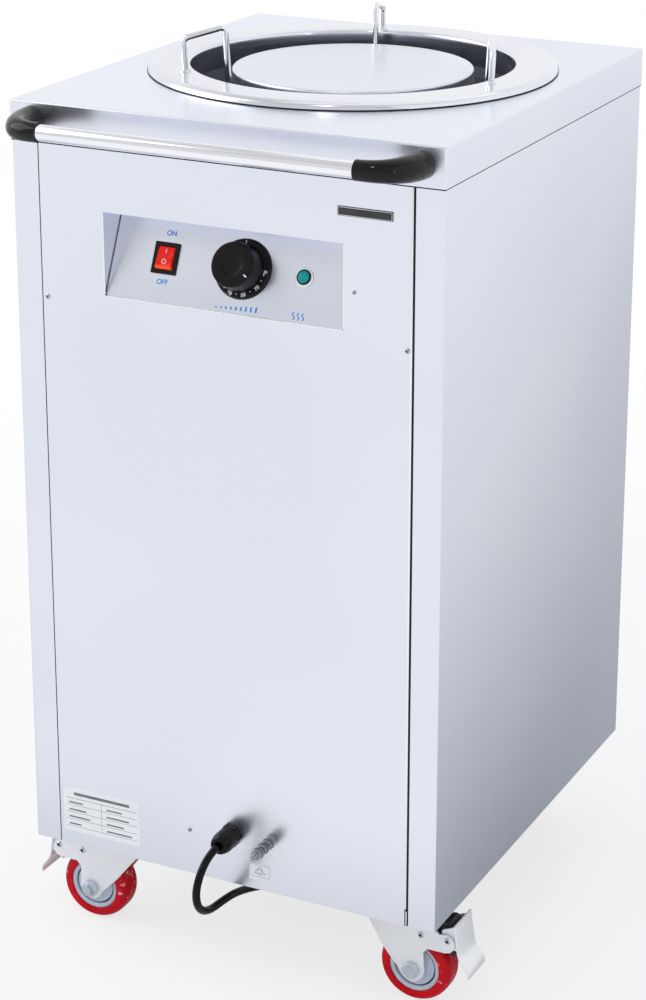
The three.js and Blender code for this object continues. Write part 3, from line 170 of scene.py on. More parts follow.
floor_mesh = bpy.data.meshes.new("floor")
floor_mesh.from_pydata([(-FLOOR_HALF, -FLOOR_HALF, 0), (FLOOR_HALF, -FLOOR_HALF, 0),
                        (FLOOR_HALF, FLOOR_HALF, 0), (-FLOOR_HALF, FLOOR_HALF, 0)], [], [(0, 1, 2, 3)])
floor = in_scene("floor", floor_mesh)
floor_finish = bpy.data.materials.new("floor")
floor_finish.use_nodes = True
tree = floor_finish.node_tree
tree.nodes.clear()
place = add(tree, "ShaderNodeTexCoord").outputs["Object"]
far = add(tree, "ShaderNodeVectorMath", {0: place}, operation="LENGTH").outputs["Value"]
clear = add(tree, "ShaderNodeMapRange", {"Value": far, "From Min": FLOOR_CLEAR[0],
                                         "From Max": FLOOR_CLEAR[1], "To Min": FLOOR_WHITE_NEAR},
            interpolation_type="SMOOTHSTEP")
mirrored = add(tree, "ShaderNodeMapRange", {"Value": far, "From Min": GLOSS_CLEAR[0],
                                            "From Max": GLOSS_CLEAR[1]},
               interpolation_type="SMOOTHSTEP").outputs[0]
for slope, start in LIT_FLOOR:
    uphill = add(tree, "ShaderNodeVectorMath", {0: place, 1: slope}, operation="DOT_PRODUCT")
    mirrored = maths(tree, "MAXIMUM", mirrored, maths(tree, "ADD", uphill.outputs["Value"], start, True))
path = add(tree, "ShaderNodeLightPath").outputs
to_eye = maths(tree, "MULTIPLY", clear.outputs[0], path["Is Camera Ray"])
to_gloss = maths(tree, "MULTIPLY", mirrored, path["Is Glossy Ray"])
tone = add(tree, "ShaderNodeMix", {0: path["Is Glossy Ray"], 6: (*FLOOR_COLOUR, 1),
                                   7: (*FLOOR_SHADE_IN_GLOSS, 1)}, data_type="RGBA")
matt = add(tree, "ShaderNodeBsdfDiffuse", {"Color": tone.outputs[2]})
white = add(tree, "ShaderNodeEmission", {"Color": (1, 1, 1, 1), "Strength": 1})
floor_mix = add(tree, "ShaderNodeMixShader", {0: maths(tree, "MAXIMUM", to_eye, to_gloss),
                                              1: matt.outputs[0], 2: white.outputs[0]})
add(tree, "ShaderNodeOutputMaterial", {0: floor_mix.outputs[0]})
floor_mesh.materials.append(floor_finish)

for name, at, aim, size, power in LAMPS:
    lamp = bpy.data.lights.new(name, "AREA")
    lamp.shape = "SQUARE"
    lamp.size = size
    lamp.energy = power
    holder = in_scene(name, lamp)
    holder.location = at
    holder.rotation_euler = (Vector(aim) - Vector(at)).to_track_quat("-Z", "Y").to_euler()

# ---- Mains cord ----
# Black rubber mains cord, 8 mm round, glossy. It leaves the gland on the front, turns back under
# the cabinet and lies on the floor in a flat coil of five turns, held by a tie.

CORD_R = 4
CORD_SIDES = 16
CORD_EXIT_Y = -242.65
CORD_ROUTE = [                               # X, Y from the exit, Z in millimetres
    (3.5, 0, 161), (3.5, -7, 161), (3.5, -15, 160.6), (3, -28, 156), (2.2, -39, 146),
    (1, -44.5, 131), (0, -41, 115), (-1, -29, 102), (-2, -10, 94), (-3, 14, 90), (-4, 40, 85),
    (-5, 68, 76), (-6, 98, 64), (-7, 130, 49), (-7.5, 162, 33), (-8, 194, 19), (-8.3, 226, 11.2),
    (-8.5, 256, 5.7), (-8.45, 304.65, 4.2), (-8.45, 330.65, 4.2),
]
COIL_MIDDLE = (46.3, 120)
COIL_TURNS = 5
COIL_INNER_R = 32.5
COIL_STEP = 8.9                              # between turns, and between the two layers
COIL_LOW = 4.2
COIL_TAIL = 44
RUBBER_BLACK = (0.002, 0.002, 0.003, 1)


def curve_through(points, steps):
    """A smooth line through points: each stretch is the Catmull-Rom cubic of its four nearest points,
    whose slope at a point is half the way from the point before to the point after."""
    p = np.asarray(points, float)
    p = np.vstack([2 * p[0] - p[1], p, 2 * p[-1] - p[-2]])
    t = np.linspace(0, 1, steps, endpoint=False)[None, :, None]
    a, b, c, d = p[:-3, None], p[1:-2, None], p[2:-1, None], p[3:, None]
    line = 0.5 * (2 * b + (c - a) * t + (2 * a - 5 * b + 4 * c - d) * t ** 2
                  + (3 * b - a - 3 * c + d) * t ** 3)
    return np.vstack([line.reshape(-1, p.shape[1]), p[-2]])


def shade(mesh, sharp):
    """Smooth shading, but for the edges that turn by more than the angle."""
    mesh.polygons.foreach_set("use_smooth", np.ones(len(mesh.polygons), bool))
    mesh.set_sharp_from_angle(angle=math.radians(sharp))


def mesh_object(name, points, faces, sharp=35):
    """A mesh at the origin from points in millimetres. Doubled points are merged, the faces are turned
    outwards, and edges that turn by more than the angle stay sharp."""
    mesh = bpy.data.meshes.new(name)
    mesh.from_pydata((np.asarray(points, float) * MM).tolist(), [], [list(f) for f in faces])
    bm = bmesh.new()
    bm.from_mesh(mesh)
    bmesh.ops.remove_doubles(bm, verts=bm.verts, dist=2e-6)
    bmesh.ops.delete(bm, geom=[vert for vert in bm.verts if not vert.link_faces], context="VERTS")
    bmesh.ops.recalc_face_normals(bm, faces=bm.faces)
    bm.to_mesh(mesh)
    bm.free()
    shade(mesh, sharp)
    return in_scene(name, mesh)


def grid_faces(rows, columns, wrap_rows, wrap_columns, first=0):
    """Four-sided faces of a grid of points numbered row by row, joined round where it wraps."""
    r = np.arange(rows if wrap_rows else rows - 1)[:, None]
    c = np.arange(columns if wrap_columns else columns - 1)[None, :]
    r2, c2 = (r + 1) % rows, (c + 1) % columns
    quads = np.stack(np.broadcast_arrays(r * columns + c, r * columns + c2,
                                         r2 * columns + c2, r2 * columns + c), -1)
    return (quads.reshape(-1, 4) + first).tolist()


def tube(path, radius, sides, ends=True):
    """Points and faces of a round tube: each ring stands square to the path, turned from the last
    one by as little as the path bends. radius is a number or one for each point of the path."""
    path = np.asarray(path, float)
    ahead = np.gradient(path, axis=0)
    ahead /= np.linalg.norm(ahead, axis=1)[:, None]
    side = np.empty_like(path)
    side[0] = np.cross(ahead[0], [0.31, 0.17, 0.93])
    for i in range(1, len(path)):
        side[i] = side[i - 1] - ahead[i] * (side[i - 1] @ ahead[i])
        side[i] /= np.linalg.norm(side[i])
    side[0] /= np.linalg.norm(side[0])
    over = np.cross(ahead, side)
    angle = np.linspace(0, 2 * np.pi, sides, endpoint=False)[None, :, None]
    reach = np.broadcast_to(np.asarray(radius, float), len(path))[:, None, None]
    rings = path[:, None] + reach * (side[:, None] * np.cos(angle) + over[:, None] * np.sin(angle))
    faces = grid_faces(len(path), sides, False, True)
    if ends:
        last = (len(path) - 1) * sides
        faces += [list(range(sides))[::-1], list(range(last, last + sides))]
    return rings.reshape(-1, 3), faces


def joined(*shapes):
    """Several (points, faces) as one."""
    points, faces, count = [], [], 0
    for some_points, some_faces in shapes:
        points.append(np.asarray(some_points, float))
        faces += [[index + count for index in face] for face in some_faces]
        count += len(some_points)
    return np.vstack(points), faces


def stands_for(piece, material, slot, *nodes):
    """The piece gets its material, takes the place of CAD nodes and rides on their body; its slot is not
    used."""
    piece.data.materials.append(material)
    body = frame["nodes"][nodes[0]]["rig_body"]
    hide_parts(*nodes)
    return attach(piece, body)


def goes_with(piece, material, body="cabinet"):
    """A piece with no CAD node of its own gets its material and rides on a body."""
    piece.data.materials.append(material)
    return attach(piece, body)


def shader_group(name, inputs, outputs):
    """An empty node group with those input and output sockets, each a (name, kind, default)."""
    group = bpy.data.node_groups.new(name, "ShaderNodeTree")
    for sockets, way in ((inputs, "INPUT"), (outputs, "OUTPUT")):
        for socket, kind, default in sockets:
            made = group.interface.new_socket(socket, in_out=way, socket_type=kind)
            if default is not None:
                made.default_value = default
    return group, group.nodes.new("NodeGroupInput"), group.nodes.new("NodeGroupOutput")


def spread(group, noise, low, high):
    """The middle of a noise's range, stretched from one value to another."""
    return add(group, "ShaderNodeMapRange", {"Value": noise.outputs["Fac"], "From Min": 0.3,
                                             "From Max": 0.7, "To Min": low, "To Max": high}).outputs[0]


def grain_group():
    """Fine lines or cells: noise on the object's own coordinates, stretched by Stretch (cells per
    metre along each axis), as a roughness between Low and High and as a height."""
    group, given, out = shader_group(
        "grain", [("Stretch", "NodeSocketVector", (500, 500, 500)), ("Low", "NodeSocketFloat", 0.3),
                  ("High", "NodeSocketFloat", 0.4)],
        [("Roughness", "NodeSocketFloat", None), ("Height", "NodeSocketFloat", None)])
    at = add(group, "ShaderNodeTexCoord")
    cells = add(group, "ShaderNodeVectorMath", {0: at.outputs["Object"], 1: given.outputs["Stretch"]},
                operation="MULTIPLY")
    noise = add(group, "ShaderNodeTexNoise", {"Vector": cells.outputs[0], "Scale": 1, "Detail": 3})
    rough = spread(group, noise, given.outputs["Low"], given.outputs["High"])
    group.links.new(rough, out.inputs["Roughness"])
    group.links.new(noise.outputs["Fac"], out.inputs["Height"])
    return group


def cloud_group():
    """Broad soft patches: a colour that drifts between two, by slow noise of Scale cells a metre."""
    group, given, out = shader_group(
        "cloud", [("Scale", "NodeSocketFloat", 4), ("One", "NodeSocketColor", (1, 1, 1, 1)),
                  ("Other", "NodeSocketColor", (1, 1, 1, 1))], [("Color", "NodeSocketColor", None)])
    at = add(group, "ShaderNodeTexCoord")
    noise = add(group, "ShaderNodeTexNoise", {"Vector": at.outputs["Object"],
                                              "Scale": given.outputs["Scale"], "Detail": 2})
    share = add(group, "ShaderNodeMapRange", {"Value": noise.outputs["Fac"], "From Min": 0.35,
                                              "From Max": 0.65})
    mix = add(group, "ShaderNodeMix", {0: share.outputs[0], 6: given.outputs["One"],
                                       7: given.outputs["Other"]}, data_type="RGBA")
    group.links.new(mix.outputs[2], out.inputs["Color"])
    return group


GRAIN = grain_group()
CLOUD = cloud_group()


def finish(name, colours, roughness, stretch, cloud=4.0, bump=0.0, depth=0.1, **sockets):
    """A material whose colour drifts between two and whose roughness and bump follow the grain.
    stretch is the grain's cells per metre, for all axes or for each, and depth the bump's height in
    millimetres. The other sockets are set on the shader itself."""
    made = bpy.data.materials.new(name)
    made.use_nodes = True
    tree = made.node_tree
    shader = tree.nodes["Principled BSDF"]
    cloudy = add(tree, "ShaderNodeGroup", node_tree=CLOUD)
    cloudy.inputs["Scale"].default_value = cloud
    cloudy.inputs["One"].default_value = colours[0]
    cloudy.inputs["Other"].default_value = colours[1]
    grain = add(tree, "ShaderNodeGroup", node_tree=GRAIN)
    grain.inputs["Stretch"].default_value = np.broadcast_to(stretch, 3).tolist()
    grain.inputs["Low"].default_value, grain.inputs["High"].default_value = roughness
    tree.links.new(cloudy.outputs["Color"], shader.inputs["Base Color"])
    tree.links.new(grain.outputs["Roughness"], shader.inputs["Roughness"])
    if bump:
        rise = add(tree, "ShaderNodeBump", {"Strength": bump, "Distance": depth * MM,
                                            "Height": grain.outputs["Height"]})
        tree.links.new(rise.outputs[0], shader.inputs["Normal"])
    for socket, value in sockets.items():
        shader.inputs[socket.replace("_", " ")].default_value = value
    return made


def coil_line():
    """The coil's middle line, as the CAD draws it: the radius shrinks for half the turns and grows
    again, by one step a turn, while the height climbs one layer round the reversal."""
    turn = np.arange(COIL_TURNS * 24 + 1) / 24
    from_middle = turn - COIL_TURNS / 2
    radius = COIL_INNER_R + COIL_STEP * np.abs(from_middle)
    angle = np.pi - 2 * np.pi * turn
    return np.stack([COIL_MIDDLE[0] + radius * np.cos(angle), COIL_MIDDLE[1] + radius * np.sin(angle),
                     COIL_LOW + COIL_STEP * np.clip(from_middle * 2 + 0.5, 0, 1)], 1)


cord_free = [(x, CORD_EXIT_Y + back, z) for x, back, z in CORD_ROUTE]
cord_coil = coil_line()
cord_start = cord_coil[:1] - [(0, 2 * CORD_R, 0)]
cord_end = cord_coil[-1:] + [(0, COIL_TAIL, 0)]
cord_path = curve_through(np.vstack([cord_free, cord_start, cord_coil, cord_end]), 3)
cord = mesh_object("mains_cord", *tube(cord_path, CORD_R, CORD_SIDES), sharp=60)
rubber = finish("cord_rubber", [RUBBER_BLACK, (0.005, 0.005, 0.006, 1)], (0.1, 0.16), 700,
                cloud=30, bump=0.04, depth=0.03, Specular_IOR_Level=0.16)
stands_for(cord, rubber, "cord_rubber", "power_cord", "cord_coil")

# ---- Plug and coil tie ----
# A moulded two-pin plug with a ribbed neck and a waist for the fingers, lying in line with the
# cord's loose end, and the tie that holds the coil: a flat strap wrapped twice round all its turns.

PLUG_LENGTH = 46
PLUG_R = 12.4
PLUG_NECK_R = 6.2
PIN_R = 2.4
PIN_LENGTH = 19
PIN_HALF_SPACING = 8.55
TIE_WIDTH = 9
TIE_THICK = 0.7


def softened(corners, reach, steps=4, closed=False):
    """A polyline whose corners are rounded: near each corner the line follows the parabola that
    leaves one side at the reach before the corner and meets the other at the reach after it."""
    p = np.asarray(corners, float)
    before, after = np.roll(p, 1, 0), np.roll(p, -1, 0)
    reach = np.broadcast_to(np.asarray(reach, float), len(p)).copy()
    if not closed:
        reach[0] = reach[-1] = 0

    def toward(other):
        way = other - p
        length = np.maximum(np.linalg.norm(way, axis=1), 1e-9)
        return way * (np.minimum(reach / length, 0.48))[:, None]

    a, b = p + toward(before), p + toward(after)
    s = np.linspace(0, 1, steps + 1)[None, :, None]
    line = (1 - s) ** 2 * a[:, None] + 2 * s * (1 - s) * p[:, None] + s ** 2 * b[:, None]
    line = line.reshape(-1, p.shape[1])
    keep = np.r_[True, np.linalg.norm(np.diff(line, axis=0), axis=1) > 1e-6]
    return line[keep]


def spun(profile, sides, shape=None, closed=False):
    """A profile of (radius, height) points turned about the axis. shape(radius, height, angle) may
    change the radius round the turn. Profiles that end on the axis close there."""
    profile = np.asarray(profile, float)
    angle = np.linspace(0, 2 * np.pi, sides, endpoint=False)[None, :]
    radius = np.broadcast_to(profile[:, :1], (len(profile), sides))
    height = np.broadcast_to(profile[:, 1:2], (len(profile), sides))
    if shape:
        radius = shape(radius, height, angle)
    points = np.stack([radius * np.cos(angle), radius * np.sin(angle), height], -1)
    return points.reshape(-1, 3), grid_faces(len(profile), sides, closed, True)


def placed(shape, origin, across, up):
    """A shape's own X, Y and Z are laid along across, up and their cross product, from the origin."""
    points, faces = shape
    x, y = np.asarray(across, float), np.asarray(up, float)
    return np.asarray(points) @ np.stack([x, y, np.cross(x, y)]) + np.asarray(origin, float), faces


plug_end = cord_end[0]


def plug_oval(radius, height, angle):
    """The body is flattened a little between the fingers, most at two thirds of its length."""
    waist = np.exp(-((height - 31) / 9) ** 2)
    return radius * (1 - 0.14 * waist * np.abs(np.sin(angle)) ** 1.5)


rib = np.linspace(1, 15, 57)
neck = np.stack([PLUG_NECK_R + 1.6 * (rib / 15) ** 1.4 - 0.55 * (np.sin(rib * np.pi / 1.4) > 0.2), rib], 1)
plug_profile = np.vstack([[(0, 0.3), (PLUG_NECK_R - 0.8, 0.3), (PLUG_NECK_R, 1)], neck, softened(
    [(8.2, 15.5), (PLUG_R, 23), (PLUG_R, PLUG_LENGTH), (0, PLUG_LENGTH)], 1.6)])
plug_body = spun(plug_profile, 48, plug_oval)
pin_profile = softened([(0, PLUG_LENGTH - 1), (PIN_R, PLUG_LENGTH - 1), (PIN_R, PLUG_LENGTH + PIN_LENGTH),
                        (0, PLUG_LENGTH + PIN_LENGTH)], 1.2)
plug_turn = dict(origin=plug_end, across=(1, 0, 0), up=(0, 0, -1))
plug = mesh_object("plug_body", *placed(plug_body, **plug_turn))
pins = [(points + [(side * PIN_HALF_SPACING, 0, 0)], faces)
        for side in (-1, 1) for points, faces in [spun(pin_profile, 24)]]
plug_pins = mesh_object("plug_pins", *placed(joined(*pins), **plug_turn))
moulded = finish("moulded_black", [(0.014, 0.014, 0.016, 1), (0.022, 0.022, 0.024, 1)], (0.32, 0.46),
                 1500, cloud=40, bump=0.25, depth=0.06)
nickel = finish("nickel_pins", [(0.72, 0.7, 0.66, 1), (0.62, 0.6, 0.57, 1)], (0.2, 0.32),
                (300, 300, 2500), Metallic=1.0)
stands_for(plug, moulded, "black_matte", "plug")
goes_with(plug_pins, nickel)

tie_low, tie_high = COIL_LOW - CORD_R - 0.15, COIL_LOW + COIL_STEP + CORD_R + 0.25
tie_inner = COIL_MIDDLE[0] + COIL_INNER_R - CORD_R - 1.2
tie_outer = COIL_MIDDLE[0] + COIL_INNER_R + COIL_STEP * 2.5 + CORD_R + 1.2
tie_loop = softened([(tie_inner, tie_low + 0.3), (tie_outer, tie_low + 0.3), (tie_outer, tie_high),
                     (tie_inner, tie_high)], 4, 6, closed=True)
tie_out = tie_loop - tie_loop.mean(0)
tie_out /= np.linalg.norm(tie_out, axis=1)[:, None]
half = TIE_WIDTH / 2
tie_section = [(tie_loop + tie_out * lift, across)
               for lift, across in ((0, -half), (TIE_THICK, -half), (TIE_THICK, half), (0, half))]
tie_points = np.stack([np.stack([ring[:, 0], np.full(len(ring), COIL_MIDDLE[1] + across),
                                 np.maximum(ring[:, 1], 0.05)], 1) for ring, across in tie_section], 1)
tie = mesh_object("coil_tie", tie_points.reshape(-1, 3), grid_faces(len(tie_loop), 4, True, True),
                  sharp=50)
strap = finish("strap_black", [(0.03, 0.03, 0.032, 1), (0.045, 0.045, 0.048, 1)], (0.6, 0.8),
               (2600, 2600, 900), cloud=60, bump=0.6, depth=0.1)
goes_with(tie, strap)

# ---- Cord gland and earth stud ----
# A black nylon gland: a hexagon against the panel, a locknut inside, and a ribbed dome nut that grips
# the cord. Beside it is a zinc-plated earth stud with two nuts and washers, threaded to its end.

BODY_FRONT = -219.15
SHEET = 0.8
GAP = 0.3
ENTRY_Z = 161
GLAND_X = 3.5
GLAND_HEX = 21
GLAND_NUT_R = 11
GLAND_RIBS = 16
STUD_X = 44.7
STUD_R = 3
STUD_PITCH = 1
STUD_REACH = 33
NUT_FLATS = 10
NUT_HEIGHT = 5
NUTS_AT = (1.7, 11.8, 22, -6.1)              # out from the panel's face; the last one is inside
WASHERS_AT = (GAP, 10.4, 20.6)


def from_front(shape, x, z, lift=0.0):
    """A shape drawn with its axis on Z is turned to stand out of the front panel at (x, z)."""
    return placed(shape, (x, BODY_FRONT - lift, z), (1, 0, 0), (0, 0, 1))


def hex_nut(flats, low, high, bore=0.0):
    """A hexagon whose corners are cut by a cone at both ends. Its radius at an angle is half the
    flats over the cosine of the angle from the middle of the nearest flat."""
    tip = flats / math.sqrt(3)
    start = flats * 0.475
    rise = (tip - start) * math.tan(math.radians(30))
    slope = np.linspace(0, 1, 5)
    cone = np.stack([start + (tip - start) * slope, low + rise * slope], 1)
    profile = np.vstack([[(bore, low)], cone, cone[::-1] * [1, -1] + [0, low + high], [(bore, high)]])

    def cut(radius, height, angle):
        flat = flats / 2 / np.cos((np.degrees(angle) % 60 - 30) * np.pi / 180)
        return np.minimum(radius, np.broadcast_to(flat, radius.shape))

    return spun(profile, 72, cut, closed=bore > 0)


def threaded(radius, low, high, pitch, sides=20):
    """A rod whose radius dips by a third of the pitch along a helix: the dip follows the cosine of
    the height over the pitch less the share of the turn. Its far end is bevelled."""
    steps = int((high - low) / pitch * 6)
    height = np.linspace(low, high, steps + 1)
    profile = np.vstack([[(0, low)], np.stack([np.full(steps + 1, radius), height], 1), [(0, high)]])

    def cut(reach, at, angle):
        wave = 0.5 - 0.5 * np.cos(2 * np.pi * at / pitch - angle)
        end = np.clip((high - at) / 0.9, 0, 1)
        return np.where(reach > 0, reach - 0.3 * pitch * wave - 0.7 * (1 - end), 0)

    return spun(profile, sides, cut)


def ribbed(radius, height, angle):
    """Grip ribs on the dome nut: the radius dips between them where the nut is straight."""
    straight = np.clip((height - 7.2) / 0.8, 0, 1) * np.clip((20.8 - height) / 2.5, 0, 1)
    dip = 0.45 * (1 - np.abs(np.cos(angle * GLAND_RIBS / 2)) ** 0.5)
    return np.where(radius > 8.5, radius - dip * straight, radius)


gland_rest = joined(hex_nut(GLAND_HEX, 0.3, 6.3),
                    spun([(0, -9.1), (7.5, -9.1), (7.5, 23), (0, 23)], 40),
                    hex_nut(GLAND_HEX, -5.1, -1.1, bore=7.4))
gland_body = mesh_object("gland_base", *from_front(gland_rest, GLAND_X, ENTRY_Z))
dome = softened([(7.8, 6.6), (GLAND_NUT_R, 6.6), (GLAND_NUT_R, 21), (8.6, 27.6), (7.3, 28.5), (4.6, 28.5),
                 (4.6, 23.4), (7.8, 23.4)], [0.1, 0.6, 3.6, 1.2, 0.6, 0.5, 0.2, 0.2], 6, closed=True)
straight_rows = np.stack([np.full(9, GLAND_NUT_R), np.linspace(7.6, 17, 9)], 1)
cut_at = int(np.argmax((dome[:, 1] > 7.1) & (dome[:, 0] > 10.9))) + 1
dome = np.vstack([dome[:cut_at], straight_rows, dome[cut_at:]])
gland_nut = mesh_object("gland_dome_nut", *from_front(spun(dome, 192, ribbed, closed=True),
                                                      GLAND_X, ENTRY_Z))
nylon = finish("black_nylon", [(0.003, 0.003, 0.004, 1), (0.006, 0.006, 0.007, 1)], (0.16, 0.24),
               900, cloud=60, bump=0.06, depth=0.03, Specular_IOR_Level=0.16)
stands_for(gland_body, nylon, "black_matte", "gland_body")
stands_for(gland_nut, nylon, "black_matte", "gland_nut")

washer = [(3.2, 0), (6, 0), (6.2, 0.2), (6.2, 1.2), (6, 1.4), (3.2, 1.4)]
washers = [spun(np.add(washer, (0, low)), 40, closed=True) for low in WASHERS_AT]
nuts = [hex_nut(NUT_FLATS, low, low + NUT_HEIGHT, bore=STUD_R - 0.1) for low in NUTS_AT]
stud = mesh_object("earth_terminal", *from_front(joined(
    threaded(STUD_R, -11.1, STUD_REACH, STUD_PITCH), *washers, *nuts), STUD_X, ENTRY_Z))
zinc = finish("zinc_plate", [(0.26, 0.27, 0.29, 1), (0.36, 0.37, 0.39, 1)], (0.3, 0.42),
              900, cloud=90, bump=0.15, depth=0.04, Metallic=1.0)
stands_for(stud, zinc, "zinc", "earth_stud")

# ---- Housing ----
# Folded sheets of stainless steel, 0.8 mm: the cap, two sides that turn round onto the front and the
# back, a front and a back panel between them, and a base tray. The mill grain is faint and even.

BODY_BACK = 278.65
SIDE_FACE = 223.9
SKIRT_FOOT = 842
CAP = ((-225, -220.25, SKIRT_FOOT), (225, 279.75, 880))
FOLD_R = 1.8
SIDE_FOLD_R = 1.5
RIM_R = 0.22
STEEL = [(0.76, 0.79, 0.89, 1), (0.82, 0.845, 0.925, 1)]
STEEL_GRAIN = (3000, 3000, 90)


def eased(name, node, slot, rim, material, fold=None, fold_r=FOLD_R, limit=35):
    """A finer copy of a CAD sheet or block. Its doubled points and flat triangles are merged, the edges
    whose two ends fold(end, end) picks are rounded by fold_r, and every other sharp edge by rim."""
    mesh = bpy.data.meshes.new(name)
    bm = bmesh.new()
    bm.from_mesh(frame["nodes"][node].data)
    bmesh.ops.remove_doubles(bm, verts=bm.verts, dist=1e-6)
    bmesh.ops.dissolve_limit(bm, angle_limit=math.radians(1), verts=bm.verts, edges=bm.edges)
    if fold:
        chosen = [edge for edge in bm.edges if fold(*(end.co / MM for end in edge.verts))]
        bmesh.ops.bevel(bm, geom=chosen, offset=fold_r * MM, offset_type="OFFSET", segments=6,
                        profile=0.5, affect="EDGES", clamp_overlap=False)
    if rim:
        sharp = [edge for edge in bm.edges if len(edge.link_faces) == 2
                 and edge.calc_face_angle(0) > math.radians(limit)]
        bmesh.ops.bevel(bm, geom=sharp, offset=rim * MM, offset_type="OFFSET", segments=2,
                        profile=0.5, affect="EDGES", clamp_overlap=True)
    bm.to_mesh(mesh)
    bm.free()
    shade(mesh, 40)
    mesh.materials.clear()
    piece = in_scene(name, mesh)
    even = piece.modifiers.new("even_shading", "WEIGHTED_NORMAL")
    even.keep_sharp = True
    return stands_for(piece, material, slot, node)


def near(value, *targets):
    """Whether a value is one of the targets, within a twentieth of a millimetre."""
    return any(abs(value - target) < 0.05 for target in targets)


def cap_fold(a, b):
    """The cap's top edges and its four upright corners."""
    (x0, y0, _), (x1, y1, top) = CAP
    on_top = near(a.z, top) and near(b.z, top)
    along_x = all(near(end.x, x0, x1) for end in (a, b))
    along_y = all(near(end.y, y0, y1) for end in (a, b))
    return (on_top and (along_x or along_y)) or (along_x and along_y and abs(a.z - b.z) > 20)


def side_fold(a, b):
    """Upright edges where a side panel turns round onto the front or the back."""
    return (abs(a.z - b.z) > 700 and near(abs(a.x), SIDE_FACE)
            and near(a.y, BODY_FRONT, BODY_BACK) and near(b.x, a.x))


stainless = finish("stainless", STEEL, (0.268, 0.274), STEEL_GRAIN, cloud=2.2, Metallic=1.0)
eased("cap", "top_cover", "stainless", RIM_R, stainless, cap_fold)
for side in ("left", "right"):
    eased(f"side_{side}", f"side_panel_{side}", "stainless", RIM_R, stainless, side_fold, SIDE_FOLD_R)
for name, node, rim in (("front_sheet", "front_panel", RIM_R), ("back_sheet", "back_panel", RIM_R),
                        ("base_tray", "base_panel", 0.4), ("recess_pan", "control_pan", RIM_R)):
    eased(name, node, "stainless", rim, stainless)

# ---- Recess lip ----
# The recess's opening has a turned edge on the left, the right and below. It is a tube in a steel paler
# than the sheet, a painted highlight for the light it catches. Its lower corners are notched, and a fine
# gap is left beside the slope.

LIP_R = 0.75
LIP_PATH = [(-126.3, 780.6), (-126.3, 699.3), (125.3, 699.3), (125.3, 780.6)]    # X and Z, down and round

line = np.insert(softened(LIP_PATH, [0, 1.2, 1.2, 0], 4), 1, BODY_FRONT + 0.15, axis=1)
lip = mesh_object("recess_lip", *tube(line, LIP_R, 12), sharp=50)
# painted highlight: this steel, paler than the sheet, stands in for the light caught by the lip, the lamp's
# rim and the seam's edges
highlight_steel = finish("highlight_steel", [(0.95, 0.955, 0.97, 1), (0.98, 0.98, 0.985, 1)], (0.2, 0.28),
                   900, cloud=20, Metallic=0.6)
goes_with(lip, highlight_steel)

# ---- Rocker switch ----
# A mains rocker: a glossy black bezel round a translucent red rocker, whose two faces dip towards
# their middles. The red is given a faint painted glow, and its thin lower end a painted highlight that
# turns its colour and glow amber; a white stroke and ring mark its ends.

RECESS_LEFT = -126.5
RECESS_FLOOR = 699
PAN_FACE = BODY_FRONT + SHEET + GAP
TILT = math.radians(24.4)
SWITCH_AT = (56.9, 43.4)                     # from the recess's left edge, and up the slope
ROCKER_HALF_WIDTH = 8.6
ROCKER_HALF_LENGTH = 10.8
ROCKER_TILT = math.radians(8)
ROCKER_TOP = 3.2
ROCKER_PIVOT = 1
ROUND = np.linspace(0, 2 * np.pi, 33)[:-1]   # 32 angles round a circle


def on_slope(shape, from_left, up, lift=0.0):
    """A shape drawn with its axis on Z is stood on the recess's slope."""
    rise = np.array([0, math.sin(TILT), math.cos(TILT)])
    out = np.array([0, -math.cos(TILT), math.sin(TILT)])
    foot = np.array([RECESS_LEFT + from_left, PAN_FACE, RECESS_FLOOR]) + rise * up + out * lift
    return placed(shape, foot, (1, 0, 0), rise)


def rocker_height(across, along):
    """The rocker's top: a height at the pivot, less by the tilt along it, less a hollow that is
    deepest in the middle of each half."""
    share = np.abs(along) / ROCKER_HALF_LENGTH
    hollow = 0.5 * np.sin(np.pi * share) ** 2 * (1 - 0.6 * (across / ROCKER_HALF_WIDTH) ** 2)
    return ROCKER_TOP - math.tan(ROCKER_TILT) * along - hollow


def rocker_shape():
    """Rows run along the rocker and columns across it, at rocker_height. Its ends turn down, and below
    they follow a circle about the pivot, so that they clear the surround."""
    rows, columns = 49, 33
    along = ROCKER_HALF_LENGTH * np.sin(np.linspace(-np.pi / 2, np.pi / 2, rows))[:, None]
    across = ROCKER_HALF_WIDTH * np.sin(np.linspace(-np.pi / 2, np.pi / 2, columns))[None, :]
    height = rocker_height(across, along)
    edge = np.maximum(np.abs(along) / ROCKER_HALF_LENGTH, np.abs(across) / ROCKER_HALF_WIDTH)
    height = height - 0.7 * np.clip((edge - 0.94) / 0.06, 0, 1) ** 2
    height = height - 2.6 * np.clip((-7.6 - along) / 3.2, 0, 1) ** 2
    top = np.stack(np.broadcast_arrays(across, along, height), -1).reshape(-1, 3)
    ring = np.r_[np.arange(columns), np.arange(1, rows) * columns + columns - 1,
                 (rows - 1) * columns + np.arange(columns - 2, -1, -1),
                 np.arange(rows - 2, 0, -1) * columns]
    layers = [top]
    for level in (0.2, -1.4, -3, -4.5):
        reach = math.sqrt(ROCKER_HALF_LENGTH ** 2 - (level - ROCKER_PIVOT) ** 2) / ROCKER_HALF_LENGTH
        layers.append(np.c_[top[:, 0], top[:, 1] * reach, np.full(len(top), level)])
    rims = [ring + index * len(top) for index in range(len(layers))]
    sides = [quad for upper, lower in zip(rims, rims[1:])
             for quad in np.stack([upper, lower, np.roll(lower, -1), np.roll(upper, -1)], 1).tolist()]
    faces = grid_faces(rows, columns, False, False)
    under = grid_faces(rows, columns, False, False, (len(layers) - 1) * len(top))
    return np.vstack(layers), faces + sides + under


